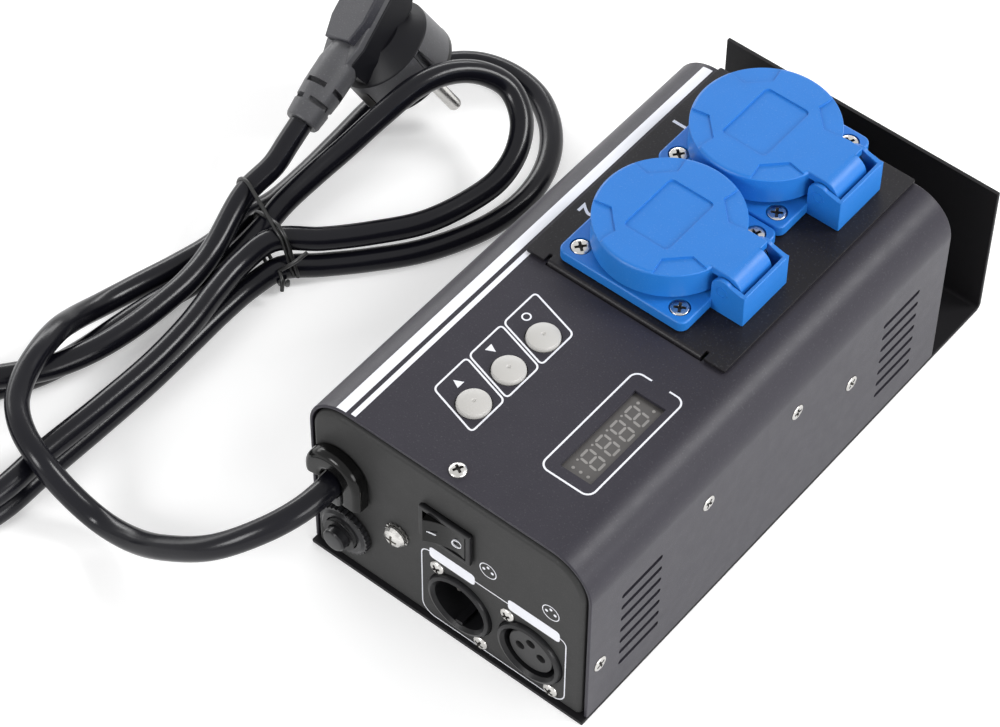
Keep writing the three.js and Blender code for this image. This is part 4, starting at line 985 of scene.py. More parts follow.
@dataclass
class Outlet:
    """One mains outlet: socket body, screws, and its sprung lid."""

    bench: Bench
    place: str
    y: float
    x: float = OUTLET_X
    base: float = 0.0769
    half: float = 0.0243
    flange: float = 0.0043
    collar: float = 0.0053
    well: float = 0.0193
    barrel: float = 0.0203
    well_floor: float = -0.0097
    screw: float = 0.019
    screw_head: float = 0.00305
    hinge: Point = (0.0278, 0.0095)
    hinge_y: Point = (-0.0102, 0.0124)
    pin: float = 0.0018
    cheek: float = 0.0016
    wall: Point = (0.0347, 0.0361)
    wall_top: float = 0.0126
    lid_radius: float = 0.024
    lid_z: Point = (0.0056, 0.0161)
    lid_wall: float = 0.0018
    ceiling: float = 0.0022
    step: float = 0.0006
    knuckle: float = 0.006
    knuckle_end: float = 0.0069
    plate_end: float = 0.0103

    def build(self) -> None:
        """Makes the outlet's visible pieces."""
        self.socket()
        self.lid()
        self.flange_screws()

    def seat(self) -> Matrix:
        """The place of the flange's centre in the housing."""
        return Matrix.Translation((self.x, self.y, self.base))

    def cheeks(self) -> list[Solid]:
        """The hinge box's two ends, rounded over the pin, the front one with the pin's ring on it."""
        y0, y1 = self.hinge_y
        (x, z), outer, foot = self.hinge, self.wall[1], self.half - 0.001
        outline = [
            (foot, 0.0),
            (outer, 0.0),
            (outer, self.wall_top),
            (self.wall[0], self.wall_top),
            *arc((x, z + 0.001), 0.0041, 50, 180, 12),
            (x - 0.0041, 0.004),
            (foot, 0.004),
        ]
        made = [Solid.slab(Axis.Y, outline, y, y + self.cheek, 0.0003) for y in (y0, y1 - self.cheek)]
        ring = Solid.bar(Axis.Y, self.pin + 0.0003, self.hinge, y0 - 0.00018, y0 + 0.0004, 32)
        return [*made, ring.cut(Solid.bar(Axis.Y, self.pin - 0.0001, self.hinge, y0 - 0.001, y0 + 0.001, 32))]

    def socket(self) -> None:
        """The flange, collar, cup and hinge box in one moulding."""
        half, floor, (y0, y1), (inner, outer) = self.half, self.well_floor, self.hinge_y, self.wall
        plate = Solid.slab(Axis.Z, rounded(-half, half, -half, half, 0.003), 0.0, self.flange, 0.0007, 4)
        corners = rounded(half - 0.002, outer, y0, y1, 0.0006, steps=3)
        box = Solid.prism(Axis.Z, corners, 0.0, 0.0015)
        upright = rounded(inner, outer, 0.0, self.wall_top, 0.0004, steps=3)
        wall = Solid.slab(Axis.Y, upright, y0 + 0.0001, y1 - 0.0001, 0.0004)
        edge = self.well + 0.0029
        rim = [(0.0, self.flange - 0.001), (edge, self.flange - 0.001), (edge, self.collar - 0.0003),
               (self.well + 0.0026, self.collar), (0.0, self.collar)]
        shape = plate.join(
            Solid.turned(Axis.Z, rim, (0.0, 0.0), 96),
            Solid.bar(Axis.Z, self.barrel, (0.0, 0.0), floor - 0.018, 0.001, 96),
            box, wall, *self.cheeks(),
        )
        tools = [
            Solid.bar(Axis.Z, self.well, (0.0, 0.0), floor, self.collar + 0.001, 96),
            Solid.bar(Axis.Y, self.pin, self.hinge, y0 + 0.0005, y1 - 0.0005, 32),
            *(Solid.bar(Axis.Z, 0.00275, (0.0, side * PIN_SIDE), floor - 0.014, floor + 0.001, 32)
              for side in (-1, 1)),
        ]
        top, mouth = self.flange, self.screw_head + 0.0004
        sink = [(0.0, top - 0.003), (0.0024, top - 0.003), (self.screw_head, top - 0.0012),
                (mouth, top - 0.0011), (mouth, top + 0.001), (0.0, top + 0.001)]
        tools += [Solid.turned(Axis.Z, sink, (sx * self.screw, sy * self.screw), 36)
                  for sx in (-1, 1) for sy in (-1, 1)]
        shape.cut(*tools).moved(self.seat())
        self.bench.dress(shape, f"outlet_{self.place}", SOCKET_BLUE, f"socket_{self.place}",
                         slot="blue_plastic")

    def tongue(self) -> Solid:
        """The flat tongue that curls over the hinge pin, with its plate over the spring."""
        (x, z), (y0, _), top = self.hinge, self.hinge_y, self.lid_z[1]
        root, under, curl_z = self.lid_radius - 0.006, top - 0.003, top - self.knuckle
        outline = [
            (root, under),
            (x - 0.0033, under),
            *arc((x, z), 0.0033, 180, 320, 12),
            *arc((x, curl_z), self.knuckle, -40, 90, 18),
            (root, top),
        ]
        curl = Solid.slab(Axis.Y, outline, y0 + self.cheek + GAP, self.knuckle_end, 0.00035)
        cover = rounded(root, x + 0.0015, self.knuckle_end - 0.0006, self.plate_end, 0.0004, steps=3)
        return curl.join(Solid.slab(Axis.Z, cover, under, top - 0.00002, 0.0003))

    def lid(self) -> None:
        """The hollow round cap with its shallow steps and its tongue."""
        r, (bottom, top) = self.lid_radius, self.lid_z
        profile = [(0.0, bottom), (r - 0.0003, bottom), (r, bottom + 0.0003)]
        profile += [(r - 0.0012 + 0.0012 * math.cos(a), top - 0.0012 + 0.0012 * math.sin(a))
                    for a in (math.pi / 2 * i / 6 for i in range(7))]
        profile += [(0.0, top)]
        shape = Solid.turned(Axis.Z, profile, (0.0, 0.0), 128).join(self.tongue())
        hollow = Solid.bar(Axis.Z, r - self.lid_wall, (0.0, 0.0), bottom - 0.001, top - self.ceiling, 96)
        pin_hole = Solid.bar(Axis.Y, self.pin, self.hinge, -0.02, 0.02, 32)
        shape.cut(hollow, pin_hole, *self.facets(), self.recess())
        shape.rounded(0.00013, Sharpness.SOFT, 55.0, clamp=False)
        body = f"lid_{self.place}"
        shape.moved(self.seat())
        self.bench.dress(shape, f"cap_{self.place}", SOCKET_BLUE, body, body=body, slot="blue_plastic")

    def recess(self) -> Solid:
        """The shallow rectangular field in the lid's top."""
        top = self.lid_z[1]
        outline = rounded(-0.0086, 0.0081, -0.0121, 0.0121, 0.0016, steps=5)
        return Solid.prism(Axis.Z, outline, top - self.step, top + 0.001)

    def facets(self) -> list[Solid]:
        """Four shallow steps at the rim, narrower towards the middle."""
        made = []
        top = self.lid_z[1]
        outline = [(0.0172, -0.0048), (0.0172, 0.0048), (0.0262, 0.011), (0.0262, -0.011)]
        for degrees in (45, 135, 225, 315):
            turn = Matrix.Rotation(math.radians(degrees), 4, "Z")
            made.append(Solid.prism(Axis.Z, outline, top - self.step, top + 0.001).moved(turn))
        return made

    def flange_screws(self) -> None:
        """Four sunk screws in the flange's corners."""
        maker = Screws(self.bench)
        corners = ((-1, -1), (-1, 1), (1, -1), (1, 1))
        for number, (sx, sy) in enumerate(corners, 1):
            place = (self.x + sx * self.screw, self.y + sy * self.screw, self.base + self.flange - 0.0004)
            maker.add(f"screw_{self.place}_{number}", place, Facing.UP, self.screw_head, sunk=True,
                      turn=15.0 + 35.0 * number)


@dataclass
class FrontPanel:
    """What the front panel carries: bushing, breaker, earth screw, rocker and signal sockets."""

    bench: Bench
    face: float = PANEL_FACE

    def build(self) -> None:
        """Makes every piece of the front panel."""
        self.bushing()
        self.breaker()
        self.rocker()
        self.signal_inlet()
        self.signal_outlet()
        self.signal_screws()
        self.panel_print()

    def bushing(self) -> None:
        """The round cable bushing: a collar on the panel and a thick hood that arches over the cable."""
        (x, z), seat, face, cord = BUSHING, self.face - GAP, -0.0063, LEAD_ROUTE[0][::2]
        collar = [(0.0, -0.0026), (0.0096, -0.0026), (0.01, -0.0022), (0.01, seat), (0.0084, seat),
                  (0.0084, 0.009), (0.0069, 0.011), (0.0, 0.011)]
        shape = Solid.turned(Axis.Y, collar, (x, z))
        thick, middle = 0.0038, 0.0071
        depth = (seat - face) / 2
        over = [Vector((u, (seat + face) / 2, v)) for u, v in arc((x, z), middle, 196, 0, 28)]
        leg = [Vector((x + middle, (seat + face) / 2, z - 0.0085 * i / 4)) for i in range(1, 5)]
        round_end = rounded(-thick, thick, -depth, depth, 0.0024, 0.0004, 5)
        hood = Solid.sweep([*over, *leg], round_end).rounded(0.0007, Sharpness.ROUND, 60.0)
        bore = Solid.bar(Axis.Y, 0.0046, cord, face - 0.001, self.face)
        mouth = Solid.block((x - 0.0115, x + 0.0044), (face - 0.001, -0.0029), (z - 0.0125, cord[1]))
        shape.join(hood).cut(bore, mouth)
        self.bench.dress(shape, "bushing", BLACK_GLOSS, "strain_relief", slot="black_plastic")
        outline = rounded(x - 0.0058, x + 0.0041, 0.0372, 0.0424, 0.0012, steps=4)
        jaw = Solid.slab(Axis.Y, outline, -0.0071, -0.0032, 0.0009, 4)
        jaw.cut(Solid.bar(Axis.Y, 0.0044, cord, -0.009, 0.0))
        self.bench.dress(jaw, "cable_jaw", GREY_NYLON, "strain_relief_jaw", slot="black_plastic")

    def breaker(self) -> None:
        """The breaker's threaded neck, toothed nut and reset button."""
        (x, z), seat = BREAKER, self.face - GAP
        nut, nut_face, neck, button, button_face = 0.0095, -0.0038, 0.0059, 0.0041, -0.0084
        teeth = 30
        outline = []
        for i in range(teeth):
            for share, r in ((0.0, nut - 0.0005), (0.25, nut), (0.6, nut), (0.85, nut - 0.0005)):
                a = (i + share) * 2 * math.pi / teeth
                outline.append((x + r * math.cos(a), z + r * math.sin(a)))
        ring = Solid.prism(Axis.Y, outline, nut_face + 0.0007, seat)
        crown = [(0.0, nut_face), (nut - 0.0018, nut_face), (nut - 0.0006, nut_face + 0.0009),
                 (0.0, nut_face + 0.0012)]
        ring.join(Solid.turned(Axis.Y, crown, (x, z)))
        ring.cut(Solid.bar(Axis.Y, neck + GAP, (x, z), nut_face - 0.001, 0.001))
        ring.rounded(0.0001, Sharpness.CRISP)
        self.bench.dress(ring, "breaker_ring", BREAKER_BLACK, "breaker_nut", slot="black_plastic")
        profile = [(0.0, button_face + 0.0001), (button - 0.0012, button_face),
                   (button - 0.0004, button_face + 0.0002), (button, button_face + 0.0007), (button, 0.005),
                   (0.0, 0.005)]
        shape = Solid.turned(Axis.Y, profile, (x, z), 48)
        body = "breaker_button"
        self.bench.dress(shape, "breaker_plunger", BREAKER_BLACK, body, body=body, slot="black_plastic")
        self.bench.settle(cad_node("breaker_body"), BLACK_NYLON, slot="black_plastic", smooth=None)

    def rocker(self) -> None:
        """The switch: bezel and paddle with its two marks."""
        (x, z), half_w, half_h, bezel, seat = ROCKER, 0.00995, 0.00715, -0.0028, self.face - GAP
        outline = rounded(x - half_w, x + half_w, z - half_h, z + half_h, 0.0006, steps=4)
        frame = Solid.prism(Axis.Y, outline, bezel, seat)
        frame.rounded(0.0005, Sharpness.SOFT, 60.0)
        frame.join(Solid.block((x - 0.009, x + 0.009), (seat - 0.0005, 0.015), (z - 0.0063, z + 0.0063)))
        frame.join(*(Solid.block((x + u - 0.0004, x + u + 0.0004), (0.014, 0.022), (z - 0.0024, z + 0.0024))
                     for u in (-0.005, 0.001, 0.007)))
        frame.cut(Solid.block((x - 0.0083, x + 0.0083), (bezel - 0.001, 0.008), (z - 0.0056, z + 0.0056)))
        self.bench.dress(frame, "switch_bezel", BLACK_NYLON, "rocker_housing", slot="black_plastic")
        face = [(-0.0072 + 0.0144 * i / 16, -0.0046 + 0.0014 * (1 - ((i - 8) / 8) ** 2)) for i in range(17)]
        back = [(0.0072, -0.001), (0.0035, 0.0045), (-0.0035, 0.0045), (-0.0072, -0.001)]
        paddle = Solid.prism(Axis.Z, [*face, *back], -0.0053, 0.0053).rounded(0.00025)
        seat_matrix = Matrix.Translation((x, 0.0004, z)) @ Matrix.Rotation(math.radians(11), 4, "Z")
        paddle.moved(seat_matrix)
        self.bench.dress(paddle, "switch_paddle", BLACK_GLOSS, "rocker", body="rocker", slot="rocker_plastic")
        self.paddle_marks(seat_matrix)

    def paddle_marks(self, seat: Matrix) -> None:
        """The line and the ring moulded white on the paddle's two halves."""
        line = Solid.block((-0.0062, -0.0028), (-0.00438, -0.00412), (-0.00018, 0.00018))
        line.moved(Matrix.Translation((0.0, 0.00022, 0.0)))
        outer = arc((0.0042, 0.0), 0.0016, 0, 345, 23)
        left, right = ribbon(outer, 0.0003, True)
        front, behind = -0.0041, -0.0036
        maker = bmesh.new()
        rows = [[maker.verts.new((u, y, v)) for u, v in edge]
                for edge, y in ((left, front), (right, front), (right, behind), (left, behind))]
        for i in range(len(outer)):
            j = (i + 1) % len(outer)
            for a, b in ((0, 1), (1, 2), (2, 3), (3, 0)):
                maker.faces.new((rows[a][i], rows[b][i], rows[b][j], rows[a][j]))
        ring = Solid(maker)
        self.bench.dress(line.moved(seat), "switch_mark_line", WHITE_INK, body="rocker")
        self.bench.dress(ring.moved(seat), "switch_mark_ring", WHITE_INK, body="rocker")

    def shell(self, name: str, x: float, keyed: bool) -> None:
        """The round shell of a three-pin signal connector."""
        z, lip, lip_face, bore, depth = SIGNAL_Z, 0.0121, -0.0025, 0.0097, 0.02
        profile = [(0.0, lip_face), (lip - 0.0014, lip_face), (lip - 0.0004, lip_face + 0.0003),
                   (lip, lip_face + 0.001), (lip, 0.0015), (0.0, 0.0015)]
        shape = Solid.turned(Axis.Y, profile, (x, z), 96)
        plate = rounded(x - 0.0129, x + 0.0129, z - 0.0147, z + 0.0147, 0.002)
        flange = Solid.prism(Axis.Y, plate, 0.0007, 0.0029)
        shape.join(flange, Solid.bar(Axis.Y, 0.011, (x, z), 0.0014, depth, 64))
        mouth = [(0.0, lip_face - 0.001), (bore + 0.0009, lip_face - 0.001), (bore + 0.0009, lip_face),
                 (bore, lip_face + 0.0012), (bore, depth - 0.004), (0.0, depth - 0.004)]
        shape.cut(Solid.turned(Axis.Y, mouth, (x, z), 96))
        if keyed:
            shape.join(Solid.block((x - 0.0013, x + 0.0013), (lip_face + 0.001, depth - 0.0035),
                                   (z - bore - 0.0005, z - bore + 0.0016)))
        shape.rounded(0.00012, Sharpness.CRISP, 50.0)
        self.bench.dress(shape, name.replace("_shell", "_barrel"), BLACK_NYLON, name, slot="black_plastic")

    def contacts(self, x: float) -> list[Point]:
        """Where the three contacts are: a level pair and one above."""
        circle = 0.004
        return [(x + u * circle, SIGNAL_Z + v * circle) for u, v in ((-1.0, 0.0), (1.0, 0.0), (0.0, 1.0))]

    def signal_inlet(self) -> None:
        """The inlet's shell and its insert with three pins."""
        x, z = SIGNAL_X["in"], SIGNAL_Z
        self.shell("signal_in_shell", x, True)
        disc = Solid.bar(Axis.Y, 0.0094, (x, z), 0.0105, 0.0157, 64)
        disc.cut(Solid.block((x - 0.0025, x + 0.0025), (0.009, 0.02), (0.0076, 0.0106)))
        self.bench.dress(disc, "signal_in_disc", INSERT_GREY, "signal_in_insert", slot="contact_brass")
        profile = [(0.0, 0.0028), (0.0005, 0.0029), (0.001, 0.0034), (0.0012, 0.004), (0.0012, 0.011),
                   (0.0, 0.011)]
        for i, place in enumerate(self.contacts(x)):
            shape = Solid.turned(Axis.Y, profile, place, 24)
            self.bench.dress(shape, f"signal_pin_{i + 1}", DARK_CONTACT, slot="contact_brass")

    def signal_outlet(self) -> None:
        """The outlet's shell and its insert with three sleeves."""
        x, z, r, face = SIGNAL_X["out"], SIGNAL_Z, 0.0084, self.face
        self.shell("signal_out_shell", x, False)
        profile = [(0.0, face), (r - 0.0008, face), (r - 0.0003, face + 0.0001), (r, face + 0.0006),
                   (r, 0.0157), (0.0, 0.0157)]
        shape = Solid.turned(Axis.Y, profile, (x, z), 96)
        sink = [(0.0, face - 0.001), (0.002, face - 0.001), (0.0016, face + 0.0005), (0.0016, 0.009),
                (0.0, 0.009)]
        for place in self.contacts(x):
            shape.cut(Solid.turned(Axis.Y, sink, place, 24))
        self.bench.dress(shape, "signal_out_core", INSERT_GREY, "signal_out_insert", slot="black_plastic")

    def signal_screws(self) -> None:
        """Two screws beside each signal socket."""
        maker = Screws(self.bench)
        for tag, x in SIGNAL_X.items():
            for i, (u, v) in enumerate(((-0.0088, 0.0116), (0.0081, -0.0126))):
                place = (x + u, self.face, SIGNAL_Z + v)
                maker.add(f"screw_{tag}_{i + 1}", place, Facing.FRONT, 0.0027, turn=30.0 + 40 * i)

    def panel_print(self) -> None:
        """The frame round the signal sockets with two bare fields, and the pins' diagrams."""
        ink = Printing(self.bench, Axis.Y, self.face, -1, line=0.0004)
        x0, x1, z0, z1, corner = -0.0096, 0.046, 0.0026, 0.0355, 0.005
        fields = (("in", -0.0065, 0.0111), ("out", 0.0239, 0.0436))
        left_top, right_top = fields[0][1] - x0, x1 - fields[1][2]
        around = [
            *arc((x0 + left_top, z1 - left_top), left_top, 90, 180, 8),
            *arc((x0 + corner, z0 + corner), corner, 180, 270, 8),
            *arc((x1 - corner, z0 + corner), corner, -90, 0, 8),
            *arc((x1 - right_top, z1 - right_top), right_top, 0, 90, 8),
        ]
        ink.stroke("signal_frame", around, closed=False)
        ink.stroke("signal_frame_bridge", [(fields[0][2], z1), (fields[1][1], z1)], closed=False)
        for tag, left, right in fields:
            ink.patch(f"signal_field_{tag}", rounded(left, right, z1 - 0.0025, z1 + 0.0025, 0.0014, steps=5))
        for tag, x, z in (("in", 0.0162, 0.0453), ("out", 0.04, 0.0454)):
            ink.stroke(f"diagram_{tag}", arc((x, z), 0.0031, 0, 350, 35), width=0.0003)
            for i, (u, v) in enumerate(((-0.0016, 0.0), (0.0016, 0.0), (0.0, 0.0016))):
                ink.patch(f"diagram_{tag}_dot_{i + 1}", arc((x + u, z + v), 0.00055, 0, 330, 11))


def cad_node(name: str) -> bpy.types.Object:
    """The CAD node of that name, as the frame loaded it."""
    return bpy.data.objects[name]


FIRST_LAYER = 0.0043
SECOND_LAYER = 0.0131
CORD_RADIUS = 0.0041
TIE_CENTRE = Vector((-0.1435, 0.0765, 0.0))
TIE_ALONG = Vector((0.926, -0.377, 0.0))


class Strand(Enum):
    """The cord's five passes through the tie: distance along the tie, and height."""

    LEAD = (-0.013, 0.0068)
    PLUG = (-0.013, 0.0189)
    MIDDLE = (-0.0035, 0.0091)
    UPPER = (0.007, 0.0154)
    LOWER = (0.0125, 0.0068)


def tied(strand: Strand) -> Place:
    """Where a pass of the cord goes through the tie."""
    along, height = strand.value
    return (TIE_CENTRE.x + along * TIE_ALONG.x, TIE_CENTRE.y + along * TIE_ALONG.y, height)


def fold(height: float) -> list[Place]:
    """A fold of the hank at its far left, a half turn of about three diameters."""
    return [(x, y, height) for x, y in arc((-0.16, -0.057), 0.0246, 0, -180, 6)]


LEAD_ROUTE: list[Place] = [
    (-0.041, -0.0014, 0.0445),
    (-0.041, -0.009, 0.0445),
    (-0.0422, -0.018, 0.0436),
    (-0.0472, -0.0277, 0.04),
    (-0.0596, -0.0384, 0.031),
    (-0.0765, -0.0426, 0.02),
    (-0.0912, -0.0428, 0.0115),
    (-0.106, -0.0423, 0.008),
    (-0.1185, -0.0434, 0.014),
    (-0.129, -0.0432, 0.0208),
    (-0.1404, -0.0394, 0.0229),
    (-0.1495, -0.0326, 0.0229),
    (-0.155, -0.024, 0.0228),
    (-0.159, -0.013, 0.0223),
    (-0.163, -0.001, 0.0186),
    (-0.166, 0.01, 0.0124),
    (-0.1668, 0.023, 0.0068),
    (-0.1646, 0.0376, 0.0046),
    (-0.1608, 0.052, FIRST_LAYER),
    (-0.1576, 0.066, 0.0046),
    tied(Strand.LEAD),
]

OUTER_LOOP: list[Place] = [
    (-0.1544, 0.094, 0.0047),
    (-0.1545, 0.11, FIRST_LAYER),
    (-0.1556, 0.128, FIRST_LAYER),
    (-0.157, 0.147, FIRST_LAYER),
    (-0.1566, 0.165, FIRST_LAYER),
    (-0.1516, 0.179, FIRST_LAYER),
    (-0.143, 0.1872, FIRST_LAYER),
    (-0.1315, 0.1905, FIRST_LAYER),
    (-0.1177, 0.1888, FIRST_LAYER),
    (-0.1064, 0.182, FIRST_LAYER),
    (-0.098, 0.1726, FIRST_LAYER),
    (-0.0924, 0.161, FIRST_LAYER),
    (-0.0901, 0.1475, FIRST_LAYER),
    (-0.0914, 0.134, FIRST_LAYER),
    (-0.096, 0.1205, FIRST_LAYER),
    (-0.103, 0.1075, FIRST_LAYER),
    (-0.1136, 0.094, 0.0044),
    (-0.1238, 0.0824, 0.0049),
    tied(Strand.LOWER),
    (-0.1354, 0.061, 0.0049),
    (-0.136, 0.047, FIRST_LAYER),
    (-0.1352, 0.03, FIRST_LAYER),
    (-0.1344, 0.01, FIRST_LAYER),
    (-0.1346, -0.012, FIRST_LAYER),
    (-0.1352, -0.036, FIRST_LAYER),
]

INNER_LOOP: list[Place] = [
    (-0.1834, -0.046, FIRST_LAYER),
    (-0.1774, -0.033, FIRST_LAYER),
    (-0.1692, -0.0206, FIRST_LAYER),
    (-0.163, -0.0076, FIRST_LAYER),
    (-0.1596, 0.006, FIRST_LAYER),
    (-0.1576, 0.02, FIRST_LAYER),
    (-0.1554, 0.034, FIRST_LAYER),
    (-0.152, 0.0485, FIRST_LAYER),
    (-0.1486, 0.0625, 0.0052),
    tied(Strand.MIDDLE),
    (-0.146, 0.09, 0.0136),
    (-0.142, 0.1015, 0.0208),
    (-0.1376, 0.1124, 0.0278),
    (-0.1336, 0.1264, 0.0348),
    (-0.1306, 0.141, 0.0386),
    (-0.1266, 0.1534, 0.0378),
    (-0.1204, 0.1628, 0.034),
    (-0.1126, 0.1674, 0.0284),
    (-0.104, 0.1636, 0.023),
    (-0.0984, 0.1546, 0.0184),
    (-0.0966, 0.143, 0.015),
    (-0.0988, 0.1304, 0.0134),
    (-0.1046, 0.1134, SECOND_LAYER),
    (-0.1146, 0.0992, SECOND_LAYER),
    (-0.1258, 0.086, 0.0135),
    tied(Strand.UPPER),
    (-0.1394, 0.061, 0.0137),
    (-0.138, 0.047, SECOND_LAYER),
    (-0.135, 0.031, SECOND_LAYER),
    (-0.1334, 0.012, SECOND_LAYER),
    (-0.1339, -0.012, SECOND_LAYER),
    (-0.1352, -0.036, SECOND_LAYER),
]

TAIL_ROUTE: list[Place] = [
    (-0.1822, -0.045, SECOND_LAYER),
    (-0.175, -0.0324, SECOND_LAYER),
    (-0.1656, -0.0214, SECOND_LAYER),
    (-0.1572, -0.0096, SECOND_LAYER),
    (-0.1518, 0.004, SECOND_LAYER),
    (-0.149, 0.018, SECOND_LAYER),
    (-0.148, 0.032, SECOND_LAYER),
    (-0.1482, 0.046, SECOND_LAYER),
    (-0.1506, 0.06, 0.0136),
    tied(Strand.PLUG),
]


def smooth_curve(points: Sequence[Vector], steps: int) -> list[Vector]:
    """A centripetal Catmull-Rom curve through points, sampled evenly between each two."""
    padded = [points[0] * 2 - points[1], *points, points[-1] * 2 - points[-2]]
    made = []
    for p0, p1, p2, p3 in zip(padded, padded[1:], padded[2:], padded[3:]):
        d0, d1, d2 = ((b - a).length ** 0.5 for a, b in ((p0, p1), (p1, p2), (p2, p3)))
        m1 = ((p1 - p0) / d0 - (p2 - p0) / (d0 + d1) + (p2 - p1) / d1) * d1
        m2 = ((p2 - p1) / d1 - (p3 - p1) / (d1 + d2) + (p3 - p2) / d2) * d1
        for i in range(steps):
            t = i / steps
            made.append(p1 * (2 * t ** 3 - 3 * t ** 2 + 1) + m1 * (t ** 3 - 2 * t ** 2 + t)
                        + p2 * (-2 * t ** 3 + 3 * t ** 2) + m2 * (t ** 3 - t ** 2))
    return [*made, points[-1].copy()]


